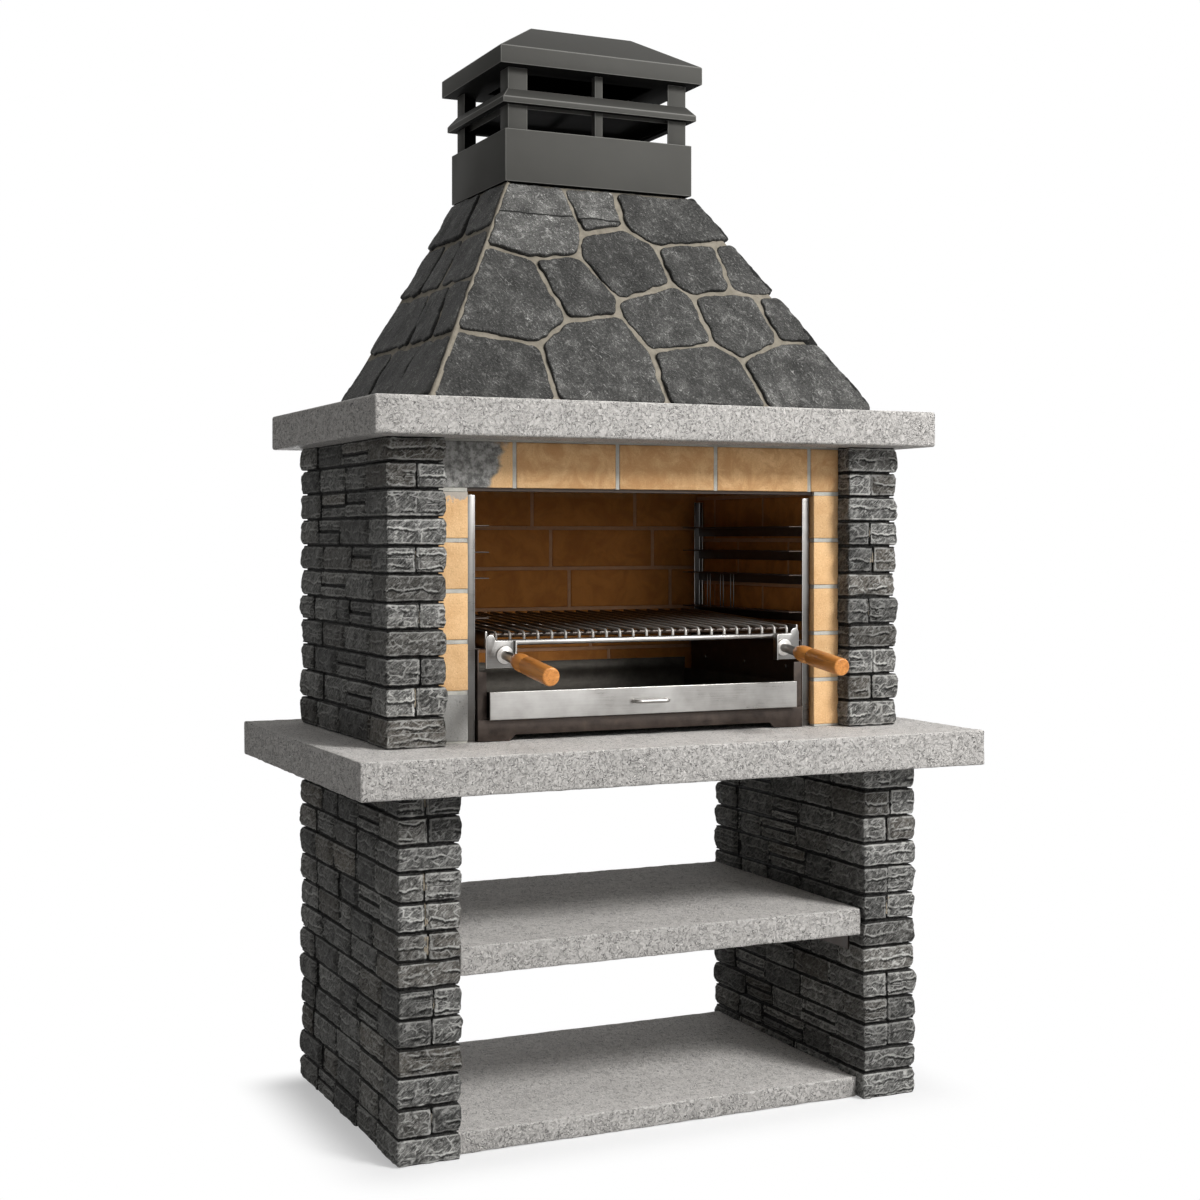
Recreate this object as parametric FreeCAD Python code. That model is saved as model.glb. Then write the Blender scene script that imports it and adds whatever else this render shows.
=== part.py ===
import FreeCAD, Part
import math
import os
import random

# A free-standing masonry barbecue. Two stone-clad piers carry a worktop, and a firebrick hearth stands on it
# between two shorter piers. A mantel slab, a slate-clad hood and a metal cowl carry the smoke away. A steel
# rack in the hearth holds a sliding grill and a sliding ember tray.
# Millimetres. +X is to the right, -Y to the front and +Z up. The origin is on the ground, below the middle of
# the worktop.

# Slabs
WORKTOP_WIDTH = 1400.0
WORKTOP_DEPTH = 870.0
WORKTOP_THICK = 76.0
WORKTOP_SIDE_OVERHANG = 110.0
WORKTOP_FRONT_OVERHANG = 107.0
WORKTOP_BACK_OVERHANG = 85.0
SHELF_THICK = 58.0
SHELF_HEIGHT = 353.0
SHELF_SETBACK = 10.0
BASE_SLAB_THICK = 44.0
BASE_SLAB_SETBACK = 26.0
SLAB_END_GAP = 1.5
SLAB_ROUNDING = 6.0
MANTEL_THICK = 76.0
MANTEL_SIDE_OVERHANG = 50.0
MANTEL_FRONT_OVERHANG = 79.0
MANTEL_BACK_OVERHANG = 12.0
SMOKE_HOLE_MARGIN = 34.0
SMOKE_HOLE_FRONT_MARGIN = 17.0

# How far a cutting shape runs past the face that it opens
CUT_PAST = 1.0

# Piers and their stone cladding
LOWER_PIER_WIDTH = 128.0
LOWER_PIER_HEIGHT = 720.0
LOWER_COURSES = 13
UPPER_PIER_WIDTH = 122.0
UPPER_PIER_HEIGHT = 612.0
UPPER_PIER_SETBACK = 69.0
UPPER_COURSES = 11
VENEER = 44.0
STONE_JOINT = 3.0
STONE_ROUGHNESS = 5.0
COURSE_SPREAD = 0.1
STONE_LENGTH = 150.0
STONE_SPREAD = 0.22
LEAST_STONE_COUNT = 2
LAYERED_STONE_SHARE = 0.2
SPLIT_STONE_LOW = 0.42
SPLIT_STONE_HIGH = 0.58
QUOIN_SHORT = 85.0
QUOIN_LONG = 165.0
STONE_SEED = 11
# Stones across the front of each pier, course by course from the foot: one that runs through, or two halves
FRONT_STONES = {
    "left_lower": "1211221222122",
    "right_lower": "1122211221221",
    "left_upper": "12212121121",
    "right_upper": "12212122121",
}

# Steel ledgers that carry the shelf
LEDGER_LEG = 40.0
LEDGER_THICK = 4.0
LEDGER_SETBACK = 60.0
ANCHOR_RADIUS = 4.0
ANCHOR_HEAD_RADIUS = 7.0
ANCHOR_HEAD_THICK = 5.0
ANCHOR_DEPTH = 70.0
ANCHOR_QUOIN_GAP = 40.0
ANCHOR_EDGE = 15.0
ANCHOR_HOLE_GAP = 0.2

# Firebrick hearth
FIREBOX_BACK_INSET = 10.0
FIREBRICK_THICK = 64.0
FIREBRICK_LENGTH = 224.0
FIREBRICK_JOINT = 8.0
FIREBRICK_COURSES = 6
SHORTEST_BRICK = 40.0
LINTEL_FIRST_LENGTH = 161.0
MORTAR_RECESS = 2.0
LINTEL_BAR_THICK = 6.0
LINTEL_BAR_SETBACK = 10.0
LINTEL_BAR_BEARING = 36.0
SLIP_THICK = 32.0
SLIP_LENGTH = 262.0
SLIP_PITCH = 96.0
FIRST_SLIP_COURSE = 53.0
SLIP_BOND_STEP = 48.0
SLIP_BOND_START = 140.0
BACK_PANEL_THICK = 32.0

# Hood
HOOD_HEIGHT = 500.0
HOOD_SIDE_SETBACK = 129.0
HOOD_FRONT_SETBACK = 58.0
HOOD_BACK_SETBACK = 61.0
HOOD_HEAD_HALF = 222.0
HOOD_HEAD_DEPTH = 325.0
HOOD_CLADDING = 20.0
HOOD_MORTAR = 13.0
HOOD_PANEL = 40.0
SLATE_JOINT = 14.0
SLATE_UNEVEN = 4.0

# Chimney collar and cowl
COLLAR_OVERHANG = 5.5
COLLAR_HEIGHT = 115.0
COLLAR_WALL = 4.0
COLLAR_FLANGE = 66.0
COWL_INSET = 10.0
COWL_HEIGHT = 136.0
COWL_POST_WIDTH = 46.0
COWL_POST_WALL = 4.0
MULLION_WIDTH = 19.0
BAND_RISE_FROM_COLLAR = 54.0
BAND_PROJECTION = 18.0
BAND_EDGE = 13.0
BAND_SLOPE_RISE = 22.0
BAFFLE_SHEET = 3.0
BAFFLE_DEPTH = 22.0
BAFFLE_BELOW_BAND = 3.0
CAP_OVERHANG = 28.0
CAP_FASCIA = 39.0
CAP_SLOPE_RUN = 121.0
CAP_SLOPE_RISE = 77.0
CAP_WALL = 4.0
CAP_SOFFIT = 56.0

# Rack that stands in the hearth
RACK_SIDE_GAP = 3.0
RACK_FRONT_SETBACK = 15.0
RACK_BACK_GAP = 28.0
POST_LEG = 17.0
POST_THICK = 3.0
POST_TOP_GAP = 6.0
LEDGE_HEIGHTS = (251.0, 332.0, 385.0, 439.0)
GRILL_SEAT_HEIGHT = 189.0
LEDGE_DROP = 22.0
LEDGE_THICK = 2.5
LEDGE_REACH = 46.0
STAY_RADIUS = 1.5
STAY_PLACES = (290.0, 340.0, 405.0)
STAY_SPACING = 14.0
STAY_INSET = 26.0
SIDE_PLATE_THICK = 3.0
SIDE_PLATE_GAP = 4.0
SIDE_PLATE_SETBACK = 4.0
FRONT_FLANGE_WIDTH = 17.0
FRONT_FLANGE_TOP = 142.0
BASE_RAIL_HEIGHT = 44.0
BASE_RAIL_FOOT = 70.0
BASE_RAIL_ARCH = 12.0
RUNNER_LEG = 37.0
RUNNER_RISE = 20.0
RUNNER_THICK = 2.7
RIVET_RADIUS = 5.0
RIVET_HEIGHT = 3.0
RIVET_ROUNDING = 1.8
RIVET_LEVEL = 128.0
RIVET_PLACES = (60.0, 250.0, 440.0)
SLIDE_GAP = 0.3

# Ember tray
TRAY_SIDE_GAP = 25.0
TRAY_SHEET = 2.0
TRAY_SIDE_HEIGHT = 52.0
TRAY_BACK_HEIGHT = 78.0
TRAY_BACK_GAP = 12.0
TRAY_FRONT_OVERLAP = 7.0
TRAY_FRONT_HEIGHT = 57.0
TRAY_FRONT_DROP = 3.0
TRAY_FRONT_THICK = 6.0
TRAY_FRONT_ROUNDING = 1.5
TRAY_FRONT_GAP = 7.0
TRAY_HANDLE_WIDTH = 82.0
TRAY_HANDLE_REACH = 25.5
TRAY_HANDLE_ROD = 4.2
TRAY_HANDLE_BEND = 9.0

# Grill
GRILL_SIDE_GAP = 18.0
GRILL_PLATE_THICK = 4.0
GRILL_BACK_GAP = 20.0
GRILL_FRONT_BAR_RADIUS = 6.0
GRILL_FRONT_BAR_LIFT = 11.0
ROD_RADIUS = 3.0
ROD_PITCH = 31.0
ROD_BEND = 8.0
ROD_FRONT_LIFT = 31.0
ROD_BACK_LIFT = 51.0
CROSS_BAR_RADIUS = 5.0
CROSS_BAR_PLACES = (0.08, 0.5, 0.97)
BRACKET_THICK = 4.0
BRACKET_WIDTH = 62.0
BRACKET_STRIP_WIDTH = 20.0
BRACKET_STRIP_TOP = 27.0
BRACKET_TOP = 15.0
BRACKET_DROP = 40.0
BRACKET_LIP = 14.0
BRACKET_LIP_THICK = 3.0
HANDLE_FROM_BRACKET_EDGE = 22.0
HANDLE_BELOW_SEAT = 13.0
HANDLE_DROOP = 7.0
SHANK_RADIUS = 10.0
SHANK_LENGTH = 64.0
SHANK_TAIL = 30.0
FERRULE_RADIUS = 18.0
FERRULE_THICK = 6.0
GRIP_LENGTH = 178.0
GRIP_RADIUS = 18.5
GRIP_NECK_RADIUS = 13.0
GRIP_BULGE_PLACE = 28.0
GRIP_WAIST_PLACE = 56.0
GRIP_WAIST_RADIUS = 15.0
GRIP_SHOULDER = 4.0
GRIP_END_ROUNDING = 4.0

# Joints of the slate paving on the hood's front, as shares of the face: across from -1 to 1, up from 0 to 1
FRONT_JOINTS = {
    "a": (-1.0, 1.0), "b": (-0.40, 1.0), "c": (0.16, 1.0), "d": (1.0, 1.0),
    "e": (1.0, 0.79), "f": (0.88, 0.78), "g": (0.34, 0.74), "h": (0.14, 0.82),
    "i": (-0.25, 0.78), "j": (-0.30, 0.67), "k": (-0.63, 0.64), "l": (-1.0, 0.69),
    "m": (-0.40, 0.36), "n": (-0.55, 0.25), "o": (-1.0, 0.30), "p": (-0.08, 0.47),
    "q": (-0.10, 0.40), "r": (0.32, 0.56), "s": (0.43, 0.51), "t": (0.73, 0.54),
    "u": (0.88, 0.53), "v": (1.0, 0.54), "w": (0.03, 0.24), "x": (0.40, 0.29),
    "y": (0.51, 0.22), "z": (0.80, 0.31), "A": (1.0, 0.325), "B": (-0.45, 0.0),
    "C": (0.035, 0.0), "D": (0.50, 0.0), "E": (-1.0, 0.0), "F": (1.0, 0.0),
}
# Each slate of the front by the joints at its corners
FRONT_SLATES = (
    "abijkl", "bchi", "cdefgh", "lkmno", "kjpqm", "ihgrpj", "gftsr", "fevut",
    "prsxwq", "stuzyx", "uvAz", "onBE", "nmqwCB", "wxyDC", "yzAFD",
)
# Slates of a side, course by course from the foot: where each course is cut, across from -1 to 1
SIDE_COURSES = (
    (0.27, (-0.32, 0.30)),
    (0.53, (-0.02, 0.52)),
    (0.77, (-0.36, 0.18)),
    (1.0, (0.12,)),
)
SIDE_JOINT_LEAN = 0.05

# Levels and faces that follow from the sizes above
V = FreeCAD.Vector
worktop_top = LOWER_PIER_HEIGHT + WORKTOP_THICK
mantel_low = worktop_top + UPPER_PIER_HEIGHT
mantel_top = mantel_low + MANTEL_THICK
hood_top = mantel_top + HOOD_HEIGHT
collar_top = hood_top + COLLAR_HEIGHT
cowl_top = collar_top + COWL_HEIGHT
lower_outer = WORKTOP_WIDTH / 2 - WORKTOP_SIDE_OVERHANG
lower_inner = lower_outer - LOWER_PIER_WIDTH
lower_front = WORKTOP_FRONT_OVERHANG - WORKTOP_DEPTH / 2
upper_outer = lower_outer
upper_inner = upper_outer - UPPER_PIER_WIDTH
upper_front = lower_front + UPPER_PIER_SETBACK
pier_back = WORKTOP_DEPTH / 2 - WORKTOP_BACK_OVERHANG
firebox_front = upper_front + VENEER
firebox_back = pier_back - FIREBOX_BACK_INSET
firebox_half = upper_inner - FIREBRICK_THICK
brick_pitch = UPPER_PIER_HEIGHT / FIREBRICK_COURSES
lintel_low = mantel_low - brick_pitch + FIREBRICK_JOINT / 2
lintel_back = firebox_front + FIREBRICK_THICK
panel_back = firebox_back + SLIP_THICK + BACK_PANEL_THICK
mantel_half = upper_outer + MANTEL_SIDE_OVERHANG
mantel_front = upper_front - MANTEL_FRONT_OVERHANG
mantel_back = panel_back + MANTEL_BACK_OVERHANG
hood_foot_half = mantel_half - HOOD_SIDE_SETBACK
hood_foot_front = mantel_front + HOOD_FRONT_SETBACK
hood_back = mantel_back - HOOD_BACK_SETBACK
hood_head_front = hood_back - HOOD_HEAD_DEPTH
rack_half = firebox_half - RACK_SIDE_GAP
rack_front = firebox_front + RACK_FRONT_SETBACK
rack_back = firebox_back - RACK_BACK_GAP
post_inner = rack_half - POST_LEG
ledge_wall = rack_half - POST_THICK
plate_outer = post_inner - SIDE_PLATE_GAP
plate_inner = plate_outer - SIDE_PLATE_THICK
plate_front = rack_front - SIDE_PLATE_SETBACK - SIDE_PLATE_THICK
seat_level = worktop_top + GRILL_SEAT_HEIGHT
runner_top = worktop_top + BASE_RAIL_HEIGHT + RUNNER_THICK
tray_low = runner_top + SLIDE_GAP
tray_half = plate_inner - TRAY_SIDE_GAP
tray_front = plate_front - TRAY_FRONT_GAP
tray_back = rack_back - TRAY_BACK_GAP
grill_half = post_inner - GRILL_SIDE_GAP
grill_front = rack_front - SIDE_PLATE_SETBACK - BRACKET_THICK - ROD_RADIUS
grill_back = rack_back - GRILL_BACK_GAP
grill_low = seat_level + SLIDE_GAP
bar_y = grill_front + GRILL_FRONT_BAR_RADIUS
bar_z = grill_low + GRILL_FRONT_BAR_LIFT


def block(xs, ys, zs):
    """A box between two values on each axis, which may come in either order."""
    low = V(min(xs), min(ys), min(zs))
    size = V(max(xs), max(ys), max(zs)) - low
    return Part.makeBox(size.x, size.y, size.z, low)


def prism(points, travel):
    """A flat outline moved along a vector."""
    return Part.Face(Part.makePolygon(list(points) + [points[0]])).extrude(travel)


def solid_between(foot, head):
    """The solid between two four-sided outlines whose matching sides lie in one plane."""
    faces = [foot, head]
    for i in range(4):
        j = (i + 1) % 4
        faces.append([foot[i], foot[j], head[j], head[i]])
    shell = Part.makeShell([Part.Face(Part.makePolygon(list(f) + [f[0]])) for f in faces])
    solid = Part.makeSolid(shell)
    if solid.Volume < 0:
        solid.reverse()
    return solid


def rectangle(xs, ys, z):
    return [V(xs[0], ys[0], z), V(xs[1], ys[0], z), V(xs[1], ys[1], z), V(xs[0], ys[1], z)]


def rounded_slab(xs, ys, zs, flat_underside=False):
    """A slab with softly rounded edges."""
    slab = block(xs, ys, zs)
    floor = min(zs)
    edges = [e for e in slab.Edges if not flat_underside or e.BoundBox.ZMax > floor + SLAB_ROUNDING]
    return slab.makeFillet(SLAB_ROUNDING, edges)


def save(name, solids):
    """Writes one sub-part, which may be a group of separate solids."""
    solids = solids if isinstance(solids, list) else [solids]
    shape = solids[0] if len(solids) == 1 else Part.makeCompound(solids)
    shape.exportStep("parts/" + name + ".step")


# Slabs


def base_slab():
    half = lower_inner - SLAB_END_GAP
    ys = (lower_front + BASE_SLAB_SETBACK, pier_back - BASE_SLAB_SETBACK)
    return rounded_slab((-half, half), ys, (0, BASE_SLAB_THICK), flat_underside=True)


def middle_shelf():
    half = lower_inner - SLAB_END_GAP
    ys = (lower_front + SHELF_SETBACK, pier_back - SHELF_SETBACK)
    return rounded_slab((-half, half), ys, (SHELF_HEIGHT, SHELF_HEIGHT + SHELF_THICK))


def worktop():
    xs = (-WORKTOP_WIDTH / 2, WORKTOP_WIDTH / 2)
    ys = (-WORKTOP_DEPTH / 2, WORKTOP_DEPTH / 2)
    return rounded_slab(xs, ys, (LOWER_PIER_HEIGHT, worktop_top))


def mantel():
    """The slab over the hearth, with the hole that lets the smoke into the hood."""
    slab = rounded_slab((-mantel_half, mantel_half), (mantel_front, mantel_back), (mantel_low, mantel_top))
    hole_half = firebox_half - SMOKE_HOLE_MARGIN
    hole_ys = (lintel_back + SMOKE_HOLE_FRONT_MARGIN, firebox_back - SMOKE_HOLE_MARGIN)
    hole_zs = (mantel_low - CUT_PAST, mantel_top + CUT_PAST)
    return slab.cut(block((-hole_half, hole_half), hole_ys, hole_zs))


# Piers


def course_levels(low, high, count, rng):
    """Lowest and highest level of each course, uneven in height, with a bed joint between neighbours."""
    shares = [rng.uniform(1 - COURSE_SPREAD, 1 + COURSE_SPREAD) for _ in range(count)]
    unit = (high - low - (count - 1) * STONE_JOINT) / sum(shares)
    levels = []
    for share in shares:
        levels.append((low, low + share * unit))
        low += share * unit + STONE_JOINT
    return levels


def stone_row(start, end, rng):
    """Where each stone of a row starts and ends."""
    count = max(LEAST_STONE_COUNT, round((end - start) / STONE_LENGTH))
    step = (end - start) / count
    cuts = [start + step * (i + rng.uniform(-STONE_SPREAD, STONE_SPREAD)) for i in range(1, count)]
    edges = [start] + cuts + [end]
    gap = STONE_JOINT / 2
    return [
        (a + (gap if i else 0), b - (gap if i < count - 1 else 0))
        for i, (a, b) in enumerate(zip(edges, edges[1:]))
    ]


def quoins(side, sides, end, inwards, zs, count, rng):
    """The corner stones at one end of a pier: one as wide as the pier, or an inner and an outer half."""
    inner, outer = sides
    spans = [(inner, outer)]
    if count == "2":
        middle = inner + (outer - inner) * rng.uniform(SPLIT_STONE_LOW, SPLIT_STONE_HIGH)
        spans = [(inner, middle - STONE_JOINT / 2), (middle + STONE_JOINT / 2, outer)]
    stones = []
    for near, far in spans:
        face = end + inwards * rng.uniform(0, STONE_ROUGHNESS)
        back = end + inwards * rng.uniform(QUOIN_SHORT, QUOIN_LONG)
        stones.append(block((side * near, side * far), (face, back), zs))
    return stones


def side_stones(side, face, backing, ys, zs, rng):
    """One row of stones along the side of a pier, some of them in two layers."""
    stones = []
    for span in stone_row(ys[0], ys[1], rng):
        layers = [zs]
        if rng.random() < LAYERED_STONE_SHARE:
            middle = zs[0] + (zs[1] - zs[0]) * rng.uniform(SPLIT_STONE_LOW, SPLIT_STONE_HIGH)
            layers = [(zs[0], middle - STONE_JOINT / 2), (middle + STONE_JOINT / 2, zs[1])]
        for layer in layers:
            shown = face + math.copysign(rng.uniform(0, STONE_ROUGHNESS), backing - face)
            stones.append(block((side * shown, side * backing), span, layer))
    return stones


def pier(side, sides, front, zs, courses, front_stones, clad_inside, rng):
    """The stones of one pier, and the core behind them, whose ends step back to each course's quoins."""
    inner, outer = sides
    core_inner = inner + VENEER if clad_inside else inner
    core_xs = (side * core_inner, side * (outer - VENEER))
    levels = course_levels(zs[0], zs[1], courses, rng)
    tops = [low for low, high in levels[1:]] + [zs[1]]
    stones = []
    slices = []
    for course, level in enumerate(levels):
        at_front = quoins(side, sides, front, 1, level, front_stones[course % len(front_stones)], rng)
        at_back = quoins(side, sides, pier_back, -1, level, rng.choice("12"), rng)
        stones += at_front + at_back
        outer_ys = (at_front[-1].BoundBox.YMax + STONE_JOINT, at_back[-1].BoundBox.YMin - STONE_JOINT)
        stones += side_stones(side, outer, outer - VENEER, outer_ys, level, rng)
        if clad_inside:
            inner_ys = (at_front[0].BoundBox.YMax + STONE_JOINT, at_back[0].BoundBox.YMin - STONE_JOINT)
            stones += side_stones(side, inner, inner + VENEER, inner_ys, level, rng)
        core_ys = (max(q.BoundBox.YMax for q in at_front), min(q.BoundBox.YMin for q in at_back))
        slices.append(block(core_xs, core_ys, (level[0], tops[course])))
    return stones, slices[0].fuse(slices[1:]).removeSplitter()


# Shelf ledgers


def anchor_places(stones):
    """Where a ledger's anchors go along and up its pier, each well inside one stone of the inner row."""
    lowest = SHELF_HEIGHT - LEDGER_LEG + ANCHOR_HEAD_RADIUS
    highest = SHELF_HEIGHT - LEDGER_THICK - ANCHOR_HEAD_RADIUS
    from_end = QUOIN_LONG + ANCHOR_QUOIN_GAP
    inner_row = [s.BoundBox for s in stones if abs(s.BoundBox.Center.x) < lower_inner + VENEER]
    places = []
    for wanted in (lower_front + from_end, pier_back - from_end):
        choices = []
        for stone in inner_row:
            y = min(max(wanted, stone.YMin + ANCHOR_EDGE), stone.YMax - ANCHOR_EDGE)
            low = max(lowest, stone.ZMin)
            high = min(highest, stone.ZMax)
            choices.append((high - low - abs(y - wanted), y, (low + high) / 2))
        places.append(max(choices)[1:])
    return places


def anchor_shanks(side, places, radius):
    """The straight parts of one pier's anchors, or the holes for them."""
    start = side * (lower_inner - LEDGER_THICK)
    along = V(side, 0, 0)
    return [Part.makeCylinder(radius, ANCHOR_DEPTH, V(start, y, z), along) for y, z in places]


def shelf_anchors(side, places):
    """Bolts through a ledger into its pier."""
    face = side * (lower_inner - LEDGER_THICK)
    anchors = []
    for shank, (y, z) in zip(anchor_shanks(side, places, ANCHOR_RADIUS), places):
        head = Part.makeCylinder(ANCHOR_HEAD_RADIUS, ANCHOR_HEAD_THICK, V(face, y, z), V(-side, 0, 0))
        anchors.append(shank.fuse(head).removeSplitter())
    return anchors


def shelf_ledger(side, holes):
    """An angle on the inner face of a pier, with holes for its anchors."""
    ys = (lower_front + LEDGER_SETBACK, pier_back - LEDGER_SETBACK)
    wall = side * lower_inner
    low = SHELF_HEIGHT - LEDGER_LEG
    upright = block((wall, wall - side * LEDGER_THICK), ys, (low, SHELF_HEIGHT))
    seat = block((wall, wall - side * LEDGER_LEG), ys, (SHELF_HEIGHT - LEDGER_THICK, SHELF_HEIGHT))
    return upright.fuse(seat).removeSplitter().cut(holes)


def drilled(solids, holes):
    """The solids, with the holes cut where they are met."""
    done = []
    for solid in solids:
        met = [h for h in holes if solid.BoundBox.intersect(h.BoundBox)]
        done += solid.cut(met).Solids if met else [solid]
    return done


# Firebrick hearth


def brick_row(start, end, first, length, joint):
    """Where each brick of a course starts and ends. The first has its own length, the last is cut to fit."""
    row = []
    at = start
    size = first
    while end - at > 0:
        stop = at + size
        if end - stop < SHORTEST_BRICK + joint:
            stop = end
        row.append((at, stop))
        at = stop + joint
        size = length
    return row


def side_wall(side):
    """Bricks of one side of the hearth, with the block at the foot of its front apart, and its mortar."""
    bricks = []
    xs = (side * firebox_half, side * upper_inner)
    half_joint = FIREBRICK_JOINT / 2
    for course in range(FIREBRICK_COURSES):
        low = worktop_top + course * brick_pitch
        zs = (low + half_joint, low + brick_pitch - half_joint)
        under_mantel = course == FIREBRICK_COURSES - 1
        start = lintel_back + FIREBRICK_JOINT if under_mantel else firebox_front
        first = FIREBRICK_LENGTH if course % 2 == 0 else (FIREBRICK_LENGTH - FIREBRICK_JOINT) / 2
        for ys in brick_row(start, firebox_back, first, FIREBRICK_LENGTH, FIREBRICK_JOINT):
            bricks.append(block(xs, ys, zs))
    shown = side * (firebox_half + MORTAR_RECESS)
    ys = (firebox_front + MORTAR_RECESS, firebox_back)
    fill = block((shown, side * upper_inner), ys, (worktop_top, mantel_low))
    over_jamb = block(xs, (firebox_front, lintel_back), (lintel_low, mantel_low))
    mortar = fill.cut(bricks + [over_jamb, lintel_bar()])
    return bricks[0], bricks[1:], mortar


def lintel():
    """The course over the opening: its left bearing block, its bricks and their mortar."""
    ys = (firebox_front, lintel_back)
    zs = (lintel_low, mantel_low - FIREBRICK_JOINT / 2)
    row = brick_row(-upper_inner, upper_inner, LINTEL_FIRST_LENGTH, FIREBRICK_LENGTH, FIREBRICK_JOINT)
    bricks = [block(xs, ys, zs) for xs in row]
    fill = block((-upper_inner, upper_inner), (ys[0] + MORTAR_RECESS, ys[1]), (lintel_low, mantel_low))
    return bricks[0], bricks[1:], fill.cut(bricks)


def lintel_bar():
    """The steel flat in the bed joint below the lintel."""
    half = firebox_half + LINTEL_BAR_BEARING
    ys = (firebox_front + LINTEL_BAR_SETBACK, lintel_back - LINTEL_BAR_SETBACK)
    return block((-half, half), ys, (lintel_low - LINTEL_BAR_THICK, lintel_low))


def back_wall():
    """Brick slips on the back of the hearth, and their mortar."""
    slips = []
    half_joint = FIREBRICK_JOINT / 2
    low = worktop_top
    high = worktop_top + FIRST_SLIP_COURSE
    step = SLIP_BOND_START
    ys = (firebox_back, firebox_back + SLIP_THICK)
    while low < mantel_low:
        if mantel_low - high < SHORTEST_BRICK:
            high = mantel_low
        for xs in brick_row(-upper_inner, upper_inner, step, SLIP_LENGTH, FIREBRICK_JOINT):
            slips.append(block(xs, ys, (low + half_joint, high - half_joint)))
        step -= SLIP_BOND_STEP
        if step < SHORTEST_BRICK:
            step += SLIP_LENGTH
        low = high
        high = low + SLIP_PITCH
    fill_ys = (firebox_back + MORTAR_RECESS, firebox_back + SLIP_THICK)
    fill = block((-upper_inner, upper_inner), fill_ys, (worktop_top, mantel_low))
    return slips, fill.cut(slips)


def back_panel():
    ys = (firebox_back + SLIP_THICK, panel_back)
    return block((-upper_inner, upper_inner), ys, (worktop_top, mantel_low))


# Hood


def hood_outline(inset, back_inset):
    """The hood's four corners at its foot and head, moved inwards from the outside of its cladding."""
    outlines = []
    for half, front, z in (
        (hood_foot_half, hood_foot_front, mantel_top),
        (HOOD_HEAD_HALF, hood_head_front, hood_top),
    ):
        xs = (-half + inset, half - inset)
        outlines.append(rectangle(xs, (front + inset, hood_back - back_inset), z))
    return outlines


def hood_layer(corner, outer, inner):
    """The part of a layer of the hood from one corner to the next, between two (inset, back inset) pairs."""
    after = (corner + 1) % 4
    ends = []
    for shown, hidden in zip(hood_outline(*outer), hood_outline(*inner)):
        ends.append([shown[corner], shown[after], hidden[after], hidden[corner]])
    return solid_between(*ends)


FRONT, RIGHT, BACK, LEFT = range(4)


class HoodFace:
    """The outside plane of the hood's cladding on one side, with u across it and v up its slope."""

    def __init__(self, corner):
        foot, head = hood_outline(0, 0)
        after = (corner + 1) % 4
        self.foot = foot[corner]
        self.across = (foot[after] - foot[corner]).normalize()
        rise = head[corner] - foot[corner]
        self.up = (rise - self.across * rise.dot(self.across)).normalize()
        self.out = self.across.cross(self.up)
        self.slope = rise.dot(self.up)
        self.low_u = (0.0, (foot[after] - foot[corner]).Length)
        self.high_u = tuple((p - foot[corner]).dot(self.across) for p in (head[corner], head[after]))

    def flat(self, s, t):
        """The place on the face of a share across, from -1 to 1, and a share up, from 0 to 1."""
        left, right = (a + (b - a) * t for a, b in zip(self.low_u, self.high_u))
        return left + (right - left) * (s + 1) / 2, t * self.slope

    def point(self, u, v):
        return self.foot + self.across * u + self.up * v


def inset_outline(points, gap):
    """A convex outline with each side moved inwards by a gap."""
    middle_u = sum(u for u, v in points) / len(points)
    middle_v = sum(v for u, v in points) / len(points)
    lines = []
    for (u0, v0), (u1, v1) in zip(points, points[1:] + points[:1]):
        length = math.hypot(u1 - u0, v1 - v0)
        a = (v0 - v1) / length
        b = (u1 - u0) / length
        if a * (middle_u - u0) + b * (middle_v - v0) < 0:
            a, b = -a, -b
        lines.append((a, b, a * u0 + b * v0 + gap))
    corners = []
    for (a, b, c), (d, e, f) in zip(lines[-1:] + lines[:-1], lines):
        corners.append(((c * e - b * f) / (a * e - b * d), (a * f - c * d) / (a * e - b * d)))
    return corners


def hood_slates(corner, outlines, rng):
    """The slates of one face, cut to the layer that they fill, and the mortar between them."""
    face = HoodFace(corner)
    layer = hood_layer(corner, (0, 0), (HOOD_CLADDING, 0))
    bed = hood_layer(corner, (HOOD_CLADDING - HOOD_MORTAR, 0), (HOOD_CLADDING, 0))
    through_layer = face.out * -(HOOD_CLADDING + SLATE_UNEVEN)
    slates = []
    for outline in outlines:
        edge = inset_outline([face.flat(s, t) for s, t in outline], SLATE_JOINT / 2)
        sunk = face.out * -rng.uniform(0, SLATE_UNEVEN)
        shown = [face.point(u, v) + sunk for u, v in edge]
        slates.append(prism(shown, through_layer).common(layer).Solids[0])
    return slates, bed.cut(slates).Solids


def front_outlines():
    return [[FRONT_JOINTS[name] for name in slate] for slate in FRONT_SLATES]


def side_outlines():
    """Slates in courses, with upright joints that lean a little to one side and the other."""
    outlines = []
    low = 0.0
    lean = SIDE_JOINT_LEAN
    for high, cuts in SIDE_COURSES:
        feet = [-1.0] + [c - lean for c in cuts] + [1.0]
        heads = [-1.0] + [c + lean for c in cuts] + [1.0]
        for i in range(len(cuts) + 1):
            outlines.append([(feet[i], low), (feet[i + 1], low), (heads[i + 1], high), (heads[i], high)])
        low = high
        lean = -lean
    return outlines


# Chimney collar and cowl


def collar_limits(inset):
    half = HOOD_HEAD_HALF + COLLAR_OVERHANG - inset
    return (-half, half), (hood_head_front - COLLAR_OVERHANG + inset, hood_back + COLLAR_OVERHANG - inset)


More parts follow.
